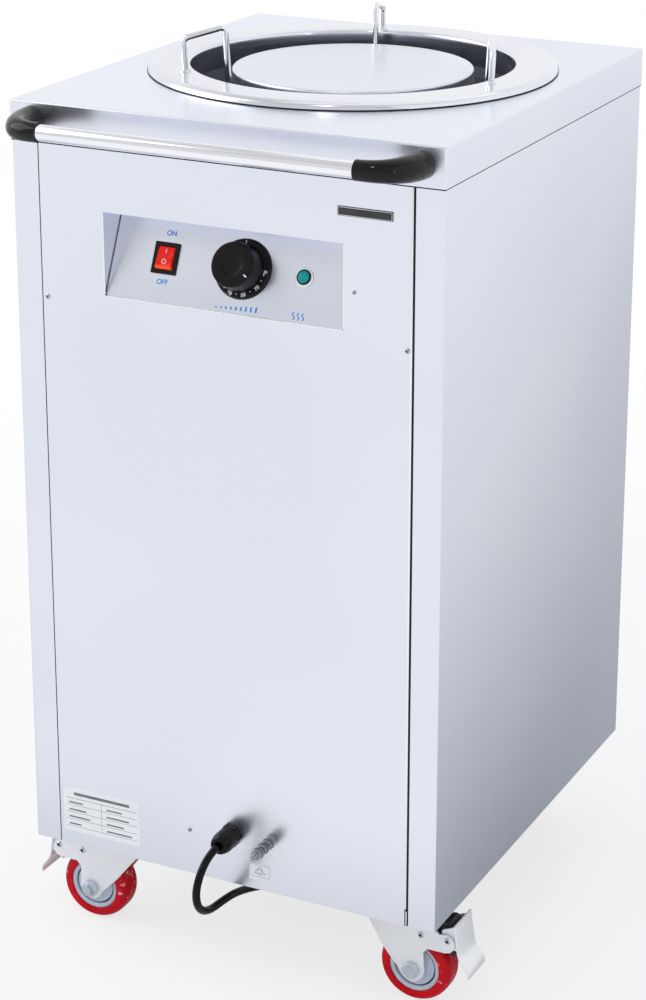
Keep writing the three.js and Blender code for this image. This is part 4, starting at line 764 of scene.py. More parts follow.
def slab(outline, low, high, ease=0.2, steps=3):
    """A flat outline given a thickness along Z, with quarter-round edges: near each face the outline
    steps inwards, along its corners' bisectors, by the ease less its cosine."""
    line = np.asarray(outline, float)
    if np.sum(line[:, 0] * np.roll(line[:, 1], -1) - np.roll(line[:, 0], -1) * line[:, 1]) < 0:
        line = line[::-1]
    before, after = line - np.roll(line, 1, 0), np.roll(line, -1, 0) - line
    before, after = (way / np.maximum(np.linalg.norm(way, axis=1), 1e-9)[:, None]
                     for way in (before, after))
    n0, n1 = np.stack([before[:, 1], -before[:, 0]], 1), np.stack([after[:, 1], -after[:, 0]], 1)
    out = (n0 + n1) / np.maximum(1 + np.sum(n0 * n1, 1), 0.3)[:, None]
    turn = np.linspace(0, np.pi / 2, steps + 1)
    inset = ease * (1 - np.sin(turn))
    rise = ease * (1 - np.cos(turn))
    rows = [(step, low + up) for step, up in zip(inset, rise)]
    rows += [(step, high - up) for step, up in zip(inset[::-1], rise[::-1])]
    points = np.vstack([np.c_[line - out * step, np.full(len(line), height)] for step, height in rows])
    count = len(line)
    faces = grid_faces(len(rows), count, False, True)
    last = (len(rows) - 1) * count
    faces += [list(range(count))[::-1], list(range(last, last + count))]
    return points, faces


def rectangle(x0, y0, x1, y1, corner=0.0):
    """A rectangle's corners, rounded by the corner radius where it has one."""
    line = [(x0, y0), (x1, y0), (x1, y1), (x0, y1)]
    return softened(line, corner, 4, closed=True) if corner else np.array(line, float)


def hoop(path, radius, sides):
    """A round tube along a line that closes on itself."""
    return tube(path, radius, sides, ends=False)[0], grid_faces(len(path), sides, True, True)


gloss = finish("black_gloss", [(0.003, 0.003, 0.004, 1), (0.006, 0.006, 0.007, 1)], (0.06, 0.1),
               500, cloud=30, bump=0.01, depth=0.01, Specular_IOR_Level=0.26)
eased("switch_surround", "switch_bezel", "black_gloss", 0.7, gloss)
rocker = mesh_object("switch_key", *on_slope(rocker_shape(), *SWITCH_AT), sharp=40)
# painted glow: the red plastic emits a faint light of its own, though the rocker is no lamp
red_glow_plastic = finish("red_painted_glow", [(0.60, 0.004, 0.003, 1), (0.82, 0.012, 0.006, 1)], (0.12, 0.18),
                     300, cloud=60, bump=0.02, depth=0.02, Specular_IOR_Level=0.25,
                     Emission_Color=(1, 0.012, 0.006, 1), Emission_Strength=0.26)
rocker_points = np.empty(len(rocker.data.vertices) * 3)
rocker.data.vertices.foreach_get("co", rocker_points)
pivot = on_slope((np.zeros((1, 3)), []), *SWITCH_AT)[0][0]
climb = (rocker_points.reshape(-1, 3) / MM - pivot) @ (0, math.sin(TILT), math.cos(TILT))
# painted highlight: a mask that rises towards the rocker's thin lower end
thin_end = rocker.data.attributes.new("thin_end", "FLOAT", "POINT")
thin_end.data.foreach_set("value", np.clip((-7.2 - climb) / 1.6, 0, 1).astype(np.float32))
tree = red_glow_plastic.node_tree
# painted highlight: colour and glow are mixed towards a brighter amber where that mask rises
share = add(tree, "ShaderNodeAttribute", attribute_name="thin_end")
for socket, amber in (("Base Color", (1, 0.09, 0.02, 1)), ("Emission Color", (1, 0.07, 0.012, 1))):
    into = tree.nodes["Principled BSDF"].inputs[socket]
    under = into.links[0].from_socket if into.links else tuple(into.default_value)
    blend = add(tree, "ShaderNodeMix", {0: share.outputs["Fac"], 6: under, 7: amber}, data_type="RGBA")
    tree.links.new(blend.outputs[2], into)
stands_for(rocker, red_glow_plastic, "rocker_red", "switch_rocker")
white_mark = finish("white_print", [(0.82, 0.83, 0.84, 1), (0.9, 0.9, 0.91, 1)], (0.4, 0.55),
                    1500, cloud=80)

bar = np.linspace(4.6, 8.6, 9)
stroke = tube(np.stack([np.zeros(len(bar)), bar, rocker_height(0, bar)], 1), 0.48, 10)
loop = np.stack([2.0 * np.cos(ROUND), 2.2 * np.sin(ROUND) - 3.6], 1)
circle = hoop(np.c_[loop, rocker_height(loop[:, 0], loop[:, 1])], 0.42, 8)
marks = mesh_object("switch_marks", *on_slope(joined(stroke, circle), *SWITCH_AT))
goes_with(marks, white_mark, "switch")

# ---- Thermostat knob ----
# A moulded phenolic knob: a sloping skirt with white numbers and dots, a body that narrows to a
# satin face, and a round dimple. A metal spindle carries it; the thermostat is behind the slope.

KNOB_AT = (139.5, 43.2)
SKIRT_TOP = 4.8
KNOB_TOP = 26
POINTER_AT = -30
DIAL_R = 25.1
DIAL_NUMBERS = [("30", -107), ("50", -74), ("70", -40), ("90", -4)]
DIAL_DOTS = [-125, -91, -57, -22]
PRINT_THICK = 0.06


def lettering(words, height, at, turn=0.0, bold=0.03):
    """Words in Blender's own face as a thin sheet, scaled to a capital height, turned by an angle in
    degrees about their middle and set down at (x, y)."""
    text = bpy.data.curves.new("letters", "FONT")
    text.body = words
    text.size = height * 1.38
    text.align_x, text.align_y = "CENTER", "CENTER"
    text.extrude = 0.04
    text.offset = height * bold
    holder = in_scene("letters", text)
    bpy.context.view_layer.update()
    flat = bpy.data.meshes.new_from_object(holder)
    bpy.data.objects.remove(holder)
    points = np.empty(len(flat.vertices) * 3)
    flat.vertices.foreach_get("co", points)
    points = points.reshape(-1, 3)
    points[:, :2] -= (points[:, :2].min(0) + points[:, :2].max(0)) / 2
    angle = math.radians(turn)
    spin = np.array([[math.cos(angle), math.sin(angle), 0], [-math.sin(angle), math.cos(angle), 0],
                     [0, 0, 1]])
    return points @ spin + (*at, 0), [list(face.vertices) for face in flat.polygons]


def polar(radius, degrees):
    """The X and Y of a point at that radius and angle."""
    return radius * math.cos(math.radians(degrees)), radius * math.sin(math.radians(degrees))


def printed(outline):
    """An outline as thin as print."""
    return slab(outline, 0, PRINT_THICK, 0.02, 1)


def dot(radius, at):
    """A round spot of print about (x, y)."""
    return printed(np.stack([np.cos(ROUND), np.sin(ROUND)], 1) * radius + at)


knob_profile = softened(
    [(3.4, 0.4), (28, 0.4), (29, 1.3), (27.5, SKIRT_TOP), (23.2, SKIRT_TOP), (21.5, 24.8),
     (20.3, KNOB_TOP), (11.2, KNOB_TOP), (9.6, 24.1), (0, 24.1), (0, 20.3), (3.4, 20.3)],
    [0.2, 0.5, 0.6, 0.7, 0.7, 1.2, 1.2, 0.5, 1.2, 0, 0, 0.2], 5, closed=True)
knob = mesh_object("thermostat_dial", *on_slope(spun(knob_profile, 128, closed=True), *KNOB_AT), sharp=50)
phenolic = finish("black_phenolic", [(0.003, 0.003, 0.004, 1), (0.006, 0.006, 0.007, 1)], (0.26, 0.34),
                  2200, cloud=50, bump=0.08, depth=0.02, Specular_IOR_Level=0.18)
stands_for(knob, phenolic, "black_matte", "thermostat_knob")
dial_marks = [lettering(words, 3.7, polar(DIAL_R, angle), angle + 90, 0.05)
              for words, angle in DIAL_NUMBERS]
dial_marks += [dot(0.55, polar(24.4, angle)) for angle in DIAL_DOTS]
dial_marks += [printed(rectangle(-0.4, 23.9, 0.4, 27, 0.1)), dot(0.6, polar(DIAL_R, -141))]
dial_marks = [(points + [0, 0, SKIRT_TOP + 0.03], faces) for points, faces in dial_marks]
pointer, pointer_faces = slab(rectangle(16.4, -0.65, 20.2, 0.65, 0.3), KNOB_TOP, KNOB_TOP + 0.08, 0.02, 1)
lean = np.array([[*polar(1, POINTER_AT), 0], [*polar(1, POINTER_AT + 90), 0], [0, 0, 1]])
dial_marks.append((pointer @ lean, pointer_faces))
print_on_knob = mesh_object("dial_print", *on_slope(joined(*dial_marks), *KNOB_AT))
goes_with(print_on_knob, white_mark, "knob")
eased("dial_spindle", "thermostat_spindle", "zinc", 0, zinc)
bakelite = finish("pale_plastic", [(0.66, 0.68, 0.66, 1), (0.74, 0.75, 0.73, 1)], (0.4, 0.55),
                  900, cloud=30, bump=0.2, depth=0.05)
eased("thermostat_case", "thermostat", "box_plastic", 0.8, bakelite)

# ---- Pilot lamp ----
# A teal lens of moulded plastic with fine cells, in a black ring with a pressed rim whose pale steel is a
# painted highlight. It is lit from behind, so it glows a little.

LAMP_AT = (202.5, 43.4)
LENS_R = 5.9

lamp_profile = softened([(6, -16), (7.2, -16), (7.2, 1.6), (6.9, 2.6), (6, 2.6)],
                        [0.2, 0.2, 0.3, 0.3, 0.2], 4, closed=True)
lamp_ring = mesh_object("lamp_ring", *on_slope(spun(lamp_profile, 64, closed=True), *LAMP_AT), sharp=50)
stands_for(lamp_ring, gloss, "black_gloss", "lamp_bezel")
rim_profile = softened([(7.25, 0.3), (9.2, 0.3), (9.2, 0.7), (8.6, 1.2), (7.25, 1.2)],
                       [0.1, 0.1, 0.2, 0.3, 0.2], 4, closed=True)
# painted highlight: the rim is made in the pale highlight steel
lamp_rim = mesh_object("lamp_rim", *on_slope(spun(rim_profile, 64, closed=True), *LAMP_AT), sharp=50)
goes_with(lamp_rim, highlight_steel)
dome_angle = np.linspace(0, np.pi / 2, 9)
lens_profile = np.vstack([[(0, -16), (LENS_R, -16), (LENS_R, 2.2)],
                          np.stack([LENS_R * np.cos(dome_angle), 2.3 + 2.5 * np.sin(dome_angle)], 1)])
lens_profile[-1, 0] = 0
lamp_lens = mesh_object("lamp_jewel", *on_slope(spun(lens_profile, 64), *LAMP_AT), sharp=60)
teal = finish("teal_lens", [(0.0, 0.10, 0.11, 1), (0.005, 0.42, 0.42, 1)], (0.1, 0.2), 700,
              cloud=900, Specular_IOR_Level=0.25, Emission_Color=(0.0, 0.4, 0.4, 1), Emission_Strength=0.16)
cells = add(teal.node_tree, "ShaderNodeTexVoronoi", {
    "Vector": add(teal.node_tree, "ShaderNodeTexCoord").outputs["Object"], "Scale": 1100})
cell_bump = add(teal.node_tree, "ShaderNodeBump", {"Strength": 0.5, "Distance": 0.4 * MM,
                                                   "Height": cells.outputs["Distance"]})
teal.node_tree.links.new(cell_bump.outputs[0], teal.node_tree.nodes["Principled BSDF"].inputs["Normal"])
stands_for(lamp_lens, teal, "lamp_teal", "lamp_lens")

# ---- Recess gap ----
# The slope is a separate bend: a fine gap is left between it and the recess's left cheek, and its two
# lower corners are notched. A thin black tube in the gap and black dots at the notches are painted shade.

# painted shade: black glossy marks stand in the gap and at the notches
gap_line = np.linspace(0.8, 84, 9)[:, None] * (0, 1, 0) + (0.5, 0, 0.05)
notch_shade = spun([(0, -0.4), (1.1, -0.4), (1.1, 0.3), (0, 0.3)], 16)
corner_marks = [from_front(notch_shade, x, 700) for x in (-125.6, 124.8)]
gap = mesh_object("recess_gap_shade", *joined(on_slope(tube(gap_line, 0.32, 8), 0, 0), *corner_marks))
goes_with(gap, gloss)

# ---- Legends ----
# Blue print on the slope: ON and OFF at the switch, a rising wedge of strokes for more and less heat
# under the knob, and three wavy strokes for heat under the lamp.

BLUE = [(0.004, 0.25, 0.80, 1), (0.008, 0.31, 0.88, 1)]
legend = [lettering("ON", 5, (58.2, 67.7)), lettering("OFF", 5, (57.5, 20.9))]
for step in range(9):
    tall = 1.4 + 0.5 * step
    x = 117.5 + 5.2 * step
    legend.append(printed(rectangle(x, 4.2, x + 1.7, 4.2 + tall)))
wave = np.linspace(0, 1, 17)
for step in (-1, 0, 1):
    x = 203.5 + 4.8 * step + 1.1 * np.sin(2 * np.pi * wave)
    legend.append(tube(np.stack([x, 3.4 + 6.6 * wave, np.zeros(len(wave))], 1), 0.5, 6))
legends = mesh_object("slope_print", *on_slope(joined(*legend), 0, 0, 0.06))
blue_print = finish("blue_print", BLUE, (0.35, 0.5), 1500, cloud=80)
goes_with(legends, blue_print)

# ---- Seams ----
# Black strips paint the shade in the two seams beside the front panel, in the rear seams, and under the
# cap's edge, where the folded sheets meet with a gap. Strips of pale steel paint a highlight along the
# right seam's edge.

BASE_Z = 107.5
NOTCH_TOP = 18                               # of the wider stretch low in the right seam, from the base


def bar_between(low, high, ease=0.15):
    """A box between two corners, with its upright edges and its ends eased."""
    return slab(rectangle(low[0], low[1], high[0], high[1]), low[2], high[2], ease, 2)


seams = [bar_between((-195.95, BODY_FRONT + 0.45, BASE_Z + 0.4),
                     (-195.05, BODY_FRONT + 1.05, SKIRT_FOOT)),
         bar_between((193.9, BODY_FRONT + 0.35, BASE_Z + 0.4), (195.9, BODY_FRONT + 1.05, SKIRT_FOOT)),
         bar_between((192.2, BODY_FRONT - 0.15, BASE_Z + 0.2),
                     (195.4, BODY_FRONT + 0.2, BASE_Z + NOTCH_TOP), 0.05)]
seams += [bar_between((side * 199.4 - 0.45, BODY_BACK - 1.05, BASE_Z + 0.4),
                      (side * 199.4 + 0.45, BODY_BACK - 0.45, SKIRT_FOOT)) for side in (-1, 1)]
under, over = SKIRT_FOOT - 1.3, SKIRT_FOOT + 0.6
seams += [bar_between((-224.4, BODY_FRONT - 0.55, under), (224.4, BODY_FRONT - 0.02, over)),
          bar_between((-224.4, BODY_BACK + 0.02, under), (224.4, BODY_BACK + 0.55, over)),
          bar_between((-224.45, BODY_FRONT, under), (-223.92, BODY_BACK, over)),
          bar_between((223.92, BODY_FRONT, under), (224.45, BODY_BACK, over))]
# painted shade: these black strips stand where the gaps would lie in shade
seam_shade = mesh_object("seam_gap_shade", *joined(*seams))
gap_shade_black = finish("painted_gap_shade", [(0.006, 0.006, 0.007, 1), (0.012, 0.012, 0.013, 1)], (0.5, 0.7),
                 900, cloud=60, bump=0.3, depth=0.05, Specular_IOR_Level=0.2)
goes_with(seam_shade, gap_shade_black)
# painted highlight: thin strips of the pale highlight steel along the right seam's edge
edges = [bar_between((192.1, BODY_FRONT - 0.12, BASE_Z + NOTCH_TOP),
                     (193.6, BODY_FRONT + 0.3, SKIRT_FOOT - 0.4), 0.1),
         bar_between((193.5, BODY_FRONT - 0.25, BASE_Z + 0.2),
                     (194.5, BODY_FRONT + 0.1, BASE_Z + NOTCH_TOP - 2), 0.05)]
edge_highlight = mesh_object("seam_edge_highlights", *joined(*edges))
goes_with(edge_highlight, highlight_steel)

# ---- Top ring and bushes ----
# A spun and polished stainless ring on the cap: flat flange, rolled throat and a collar into the well.
# Three short bushes welded through it carry the plate guides, and a thin black ring under its lip is
# painted shade.

WELL_MIDDLE = (0, 57.75)
RING_TOP = 887.5
GUIDE_PITCH_R = 173
GUIDE_AZIMUTH = -14.6
GUIDE_LEAN = math.radians(3.2)


def turned_group():
    """Fine rings such as a spinning tool leaves: noise of the distance from the axis, through Centre
    and along Z, and of the height, as a roughness between Low and High and as a height."""
    group, given, out = shader_group(
        "turned_rings", [("Centre", "NodeSocketVector", (0, 0, 0)), ("Rings", "NodeSocketFloat", 900),
                         ("Low", "NodeSocketFloat", 0.2), ("High", "NodeSocketFloat", 0.3)],
        [("Roughness", "NodeSocketFloat", None), ("Height", "NodeSocketFloat", None)])
    at = add(group, "ShaderNodeTexCoord")
    from_axis = add(group, "ShaderNodeVectorMath", {0: at.outputs["Object"], 1: given.outputs["Centre"]},
                    operation="SUBTRACT")
    flat = add(group, "ShaderNodeVectorMath", {0: from_axis.outputs[0], 1: (1, 1, 0)}, operation="MULTIPLY")
    radius = add(group, "ShaderNodeVectorMath", {0: flat.outputs[0]}, operation="LENGTH")
    split = add(group, "ShaderNodeSeparateXYZ", {0: from_axis.outputs[0]})
    pair = add(group, "ShaderNodeCombineXYZ", {0: radius.outputs["Value"], 1: split.outputs[2]})
    noise = add(group, "ShaderNodeTexNoise", {"Vector": pair.outputs[0], "Scale": given.outputs["Rings"],
                                              "Detail": 2})
    rough = spread(group, noise, given.outputs["Low"], given.outputs["High"])
    group.links.new(rough, out.inputs["Roughness"])
    group.links.new(noise.outputs["Fac"], out.inputs["Height"])
    return group


TURNED = turned_group()


def spun_finish(name, colours, roughness, rings, bump=0.04):
    """A metal finish whose roughness and bump follow rings about the well's axis."""
    made = finish(name, colours, roughness, 300, cloud=3, Metallic=1.0)
    tree = made.node_tree
    shader = tree.nodes["Principled BSDF"]
    lines = add(tree, "ShaderNodeGroup", node_tree=TURNED)
    lines.inputs["Centre"].default_value = (WELL_MIDDLE[0] * MM, WELL_MIDDLE[1] * MM, 0)
    lines.inputs["Rings"].default_value = rings
    lines.inputs["Low"].default_value, lines.inputs["High"].default_value = roughness
    rise = add(tree, "ShaderNodeBump", {"Strength": bump, "Distance": 0.02 * MM,
                                        "Height": lines.outputs["Height"]})
    tree.links.new(lines.outputs["Roughness"], shader.inputs["Roughness"])
    tree.links.new(rise.outputs[0], shader.inputs["Normal"])
    return made


def guide_axes(place, swing=0.0):
    """Where a guide's turning axis stands: out from the well's middle, leaning outwards, and turned
    by the swing about itself."""
    azimuth = math.radians(GUIDE_AZIMUTH + 120 * place)
    ca, sa, cl, sl = math.cos(azimuth), math.sin(azimuth), math.cos(GUIDE_LEAN), math.sin(GUIDE_LEAN)
    out, along = np.array([ca * cl, sa * cl, -sl]), np.array([-sa, ca, 0])
    cs, ss = math.cos(math.radians(swing)), math.sin(math.radians(swing))
    origin = (GUIDE_PITCH_R * ca + WELL_MIDDLE[0], GUIDE_PITCH_R * sa + WELL_MIDDLE[1], RING_TOP)
    return origin, out * cs + along * ss, along * cs - out * ss


def about_well(shape):
    """A shape drawn about Z is stood on the well's axis."""
    return placed(shape, (*WELL_MIDDLE, 0), (1, 0, 0), (0, 1, 0))


flange = softened([(161, 861.5), (161, RING_TOP), (198, RING_TOP), (202.4, 884.9), (204, 881.2),
                   (203.7, 880.3), (202.5, 880.3), (197.8, 886), (165, 886), (162.5, 884.5),
                   (162.5, 861.5)], [0.3, 4, 2.2, 1.2, 0.8, 0.3, 0.3, 1, 0.8, 0.6, 0.3], 7, closed=True)
bush = softened([(3.3, -18), (5.2, -18), (5.2, 1.6), (3.3, 1.6)], [0.3, 0.3, 0.6, 0.5], 3, closed=True)
bushes = [placed(spun(bush, 40, closed=True), *guide_axes(place)) for place in range(3)]
ring = mesh_object("guide_ring", *joined(about_well(spun(flange, 256, closed=True)), *bushes), sharp=50)
polished = spun_finish("polished_ring", [(0.74, 0.76, 0.82, 1), (0.80, 0.82, 0.87, 1)], (0.12, 0.22), 700)
stands_for(ring, polished, "polished_steel", "top_ring")
# painted shade: a thin black ring stands in the shade under the ring's lip
lip_shade_outline = softened(rectangle(201.4, 880.05, 204.3, 881.1), 0.2, 2, closed=True)
ring_lip_shade = mesh_object("ring_lip_shade", *about_well(spun(lip_shade_outline, 256, closed=True)), sharp=50)
goes_with(ring_lip_shade, gap_shade_black)

# ---- Plate guides ----
# Three bent polished rods, 6 mm, each turning in its bush. A guide's outer leg sits in the bush, its
# bar rises a little towards the well, and its inner leg hangs down beside the plates.

GUIDE_R = 3
GUIDE_SPAN = 42.4
GUIDE_CREST = 6.9
GUIDES = [                                   # node, name, place, height, and swing in degrees
    ("plate_guide_1", "guide_bow_right", 0, 28.7, -48.8),
    ("plate_guide_2", "guide_bow_back", 1, 22.6, 0),
    ("plate_guide_3", "guide_bow_left", 2, 32.4, -3),
]

rod_steel = finish("polished_rod", [(0.80, 0.82, 0.87, 1), (0.86, 0.87, 0.90, 1)], (0.08, 0.17),
                   (700, 700, 60), cloud=6, bump=0.02, depth=0.02, Metallic=1.0)
for node, name, place, height, swing in GUIDES:
    corners = [(0, 0, -24), (0, 0, height), (GUIDE_SPAN, 0, height + GUIDE_CREST), (GUIDE_SPAN, 0, -70)]
    line = softened(corners, [0, 6, 6, 0], 12)
    bow = mesh_object(name, *placed(tube(line, GUIDE_R, 24), *guide_axes(place, 180 + swing)), sharp=50)
    stands_for(bow, rod_steel, "polished_steel", node)

# ---- Well and carrier ----
# Inside the well, a stainless barrel with three slots and lugs. The plates stand on a dished steel
# disc, on three legs of a frame whose arms reach through the slots to sleeves on the guide rods.

POST_AZIMUTHS = (45, 165, 285)
ROD_PITCH_R = 178
SPRING_OFFSET = 17
SPRING_MID_R = 5.2
SPRING_WIRE_R = 0.8
SPRING_TURNS = 34
HEAT_R = 100
HEAT_Z = 277


def at_post(shape, azimuth):
    """A shape drawn out along X from the well's axis is turned to that azimuth."""
    turn = math.radians(azimuth)
    return placed(shape, (*WELL_MIDDLE, 0), (math.cos(turn), math.sin(turn), 0),
                  (-math.sin(turn), math.cos(turn), 0))


dull_steel = spun_finish("well_steel", [(0.68, 0.70, 0.75, 1), (0.76, 0.775, 0.82, 1)], (0.3, 0.42), 500,
                         0.06)
eased("well_sleeve", "well_barrel", "well_steel", 0.2, dull_steel)
plate_edge = softened([(0, 879.8), (117.5, 879.8), (119.3, 878), (119.3, 869), (120.5, 869), (120.5, 881),
                       (0, 881)], [0, 0.4, 0.6, 0.3, 0.3, 3, 0], 7)
plate_edge = np.vstack([plate_edge[:-1], [(60, 881), (0, 881)]])
disc = mesh_object("carrier_plate", *about_well(spun(plate_edge, 192)), sharp=50)
disc_steel = spun_finish("brushed_disc", [(0.74, 0.765, 0.84, 1), (0.79, 0.81, 0.875, 1)], (0.26, 0.31),
                         500, 0.01)
stands_for(disc, disc_steel, "stainless", "carrier_disc")
eased("carrier_spider", "carrier_frame", "well_steel", 0.6, dull_steel)

heat_angle = np.radians(np.linspace(-70, 250, 129))
heat_ring = np.stack([HEAT_R * np.cos(heat_angle), HEAT_R * np.sin(heat_angle),
                      np.full(len(heat_angle), HEAT_Z)], 1)
heat_line = softened(np.vstack([heat_ring[:1] - (0, 0, 30), heat_ring, heat_ring[-1:] - (0, 0, 30)]),
                     [0] + [2] * len(heat_ring) + [0], 3)
element = mesh_object("heating_ring", *about_well(tube(heat_line, 3.95, 20)), sharp=50)
sheath = finish("heater_sheath", [(0.13, 0.12, 0.115, 1), (0.22, 0.20, 0.19, 1)], (0.4, 0.6),
                400, cloud=30, bump=0.2, depth=0.05, Metallic=0.9)
stands_for(element, sheath, "heater_sheath", "heater_element")

post = softened([(0, 109.3), (5, 109.3), (5, 864), (0, 864)], 0.8, 3)
coil_turn = np.linspace(0, SPRING_TURNS * 2 * np.pi, SPRING_TURNS * 14 + 1)
helix = np.stack([SPRING_MID_R * np.cos(coil_turn) + ROD_PITCH_R, SPRING_MID_R * np.sin(coil_turn)
                  + SPRING_OFFSET, 682.2 + 163.6 * coil_turn / coil_turn[-1]], 1)
spring_steel = finish("spring_steel", [(0.30, 0.31, 0.33, 1), (0.42, 0.43, 0.45, 1)], (0.3, 0.45),
                      900, cloud=60, bump=0.1, depth=0.03, Metallic=1.0)
for number, azimuth in enumerate(POST_AZIMUTHS, 1):
    pillar, faces = spun(post, 40)
    pillar_out = (pillar + [ROD_PITCH_R, 0, 0], faces)
    guide_post = mesh_object(f"slide_post_{number}", *at_post(pillar_out, azimuth), sharp=50)
    stands_for(guide_post, rod_steel, "polished_steel", f"guide_rod_{number}")
    spring = mesh_object(f"coil_spring_{number}", *at_post(tube(helix, SPRING_WIRE_R, 8), azimuth),
                         sharp=50)
    stands_for(spring, spring_steel, "spring_steel", f"lift_spring_{number}")

# ---- Handle ----
# A polished steel tube across the front, 16 mm round, held by two glossy black elbows that swell
# towards their feet on the cap's edge.

BAR_R = 8
BAR_AT = (-270.25, 864)
BAR_HALF = 161.5                             # where the elbows begin, which hold the bar's ends
BAR_END = 171.5
ELBOW_R = (9.5, 13.5)
ELBOW_FOOT = (201, -220.55, 862)

bar_profile = softened([(0, -BAR_END), (BAR_R, -BAR_END), (BAR_R, BAR_END), (0, BAR_END)], 0.8, 3)
handle = mesh_object("push_bar", *placed(spun(bar_profile, 64), (0, *BAR_AT), (0, 1, 0), (0, 0, 1)),
                     sharp=50)
bar_steel = finish("polished_bar", [(0.86, 0.88, 0.93, 1), (0.91, 0.925, 0.96, 1)], (0.08, 0.15),
                   (12, 700, 700), cloud=5, bump=0.03, depth=0.02, Metallic=1.0)
stands_for(handle, bar_steel, "polished_steel", "handle_bar")

quarter = np.linspace(0, np.pi / 2, 41)
sweep_out, sweep_back = np.sin(quarter) ** 0.8, 1 - np.cos(quarter) ** 0.8
swell = ELBOW_R[0] + (ELBOW_R[1] - ELBOW_R[0]) * np.linspace(0, 1, len(quarter)) ** 1.3
for side, label in ((-1, "left"), (1, "right")):
    line = np.stack([side * (BAR_HALF + (ELBOW_FOOT[0] - BAR_HALF) * sweep_out),
                     BAR_AT[0] + (ELBOW_FOOT[1] - BAR_AT[0]) * sweep_back,
                     BAR_AT[1] + (ELBOW_FOOT[2] - BAR_AT[1]) * sweep_back], 1)
    points, faces = tube(line, swell, 56)
    points[:, 1] = np.minimum(points[:, 1], ELBOW_FOOT[1])
    elbow = mesh_object(f"elbow_grip_{label}", points, faces, sharp=50)
    stands_for(elbow, gloss, "black_gloss", f"handle_elbow_{label}")

# ---- Casters ----
# Four zinc-plated swivel casters, 76 mm, with red tyres on grey hubs; the front two have a pressed
# brake pedal. Each fork is one folded sheet, riveted, with a bolt and a lock nut through the wheel.

SWIVEL_X = 154
FRONT_SWIVEL_Y = -162.45
REAR_SWIVEL_Y = 221.95
TRAIL = 30
WHEEL_R = 38
FORK_HALF = 20
FORK_CROWN = 90
PEDAL_FACE = [(74, 96), (75.7, 82), (77.6, 69), (79.6, 61.5), (83.4, 55.6), (87.2, 51), (89.2, 46.4),
              (89.2, 42)]
PEDAL_PIVOT = (68, 79)
CREASE = 18                                  # where the fork's sides begin to draw together
PINCH = 0.0045
BRAKE_BLOCK = [(50, 74.3), (58, 67.5), (63.5, 65.5), (67.5, 57.8), (72.5, 58), (73.5, 72), (71, 88),
               (66, 95), (56, 93), (50, 84)]
FORK_RIVET = (39.5, 79)
RIVET_R = 3.5
NUT_ACROSS = 16                              # across the flats of the axle's bolt and nut
CASTERS = [                                  # name, X, Y, ways of the trail and the bolt's head, brake
    ("front_left", -SWIVEL_X, FRONT_SWIVEL_Y, -1, 1, True),
    ("front_right", SWIVEL_X, FRONT_SWIVEL_Y, 1, -1, True),
    ("rear_left", -SWIVEL_X, REAR_SWIVEL_Y, 1, 1, False),
    ("rear_right", SWIVEL_X, REAR_SWIVEL_Y, -1, 1, False),
]


def scuff_group():
    """Scuffs and rubbed specks: where fine stretched noise, thinned out by a broad noise, passes the
    Least value, the mask rises from 0 to 1."""
    group, given, out = shader_group(
        "scuffs", [("Scale", "NodeSocketFloat", 100), ("Least", "NodeSocketFloat", 0.65)],
        [("Mask", "NodeSocketFloat", None)])
    at = add(group, "ShaderNodeTexCoord")
    fine = add(group, "ShaderNodeTexNoise", {"Vector": at.outputs["Object"], "Detail": 5,
                                             "Scale": given.outputs["Scale"], "Roughness": 0.7})
    broad = add(group, "ShaderNodeTexNoise", {"Vector": at.outputs["Object"], "Scale": 22})
    both = maths(group, "MULTIPLY", maths(group, "ADD", fine.outputs["Fac"], broad.outputs["Fac"]), 0.5)
    past = maths(group, "SUBTRACT", both, given.outputs["Least"])
    group.links.new(maths(group, "MULTIPLY", past, 30, True), out.inputs["Mask"])
    return group


SCUFFS = scuff_group()


def scuffed(material, colour, scale, least):
    """Mixes a scuff colour over a finish where the scuff mask is."""
    tree = material.node_tree
    shader = tree.nodes["Principled BSDF"]
    marks = add(tree, "ShaderNodeGroup", node_tree=SCUFFS)
    marks.inputs["Scale"].default_value = scale
    marks.inputs["Least"].default_value = least
    under = shader.inputs["Base Color"].links[0].from_socket
    mix = add(tree, "ShaderNodeMix", {0: marks.outputs["Mask"], 6: under, 7: colour}, data_type="RGBA")
    tree.links.new(mix.outputs[2], shader.inputs["Base Color"])


fork_zinc = finish("fork_zinc", [(0.95, 0.96, 0.985, 1), (0.97, 0.975, 0.99, 1)], (0.34, 0.42),
                   500, cloud=30, bump=0.02, depth=0.02, Metallic=0.35)
bolt_zinc = finish("bolt_zinc", [(0.58, 0.65, 0.74, 1), (0.68, 0.74, 0.82, 1)], (0.3, 0.38),
                   300, cloud=80, Metallic=0.8)
dark_steel = finish("dark_steel", [(0.05, 0.05, 0.055, 1), (0.1, 0.1, 0.11, 1)], (0.35, 0.5),
                    900, cloud=90, bump=0.1, depth=0.03, Metallic=0.9)
tyre_red = finish("tyre_red", [(0.56, 0.0, 0.010, 1), (0.72, 0.001, 0.010, 1)], (0.12, 0.26),
                  260, cloud=40, bump=0.2, depth=0.1, Specular_IOR_Level=0.18)
scuffed(tyre_red, (0.8, 0.6, 0.6, 1), 150, 0.615)
hub_grey = finish("hub_grey", [(0.56, 0.64, 0.76, 1), (0.63, 0.71, 0.82, 1)], (0.34, 0.44),
                  1200, cloud=40, bump=0.05, depth=0.03)
block_rubber = finish("brake_rubber", [(0.01, 0.01, 0.011, 1), (0.02, 0.02, 0.022, 1)], (0.5, 0.7),
                      900, cloud=80, bump=0.4, depth=0.08)

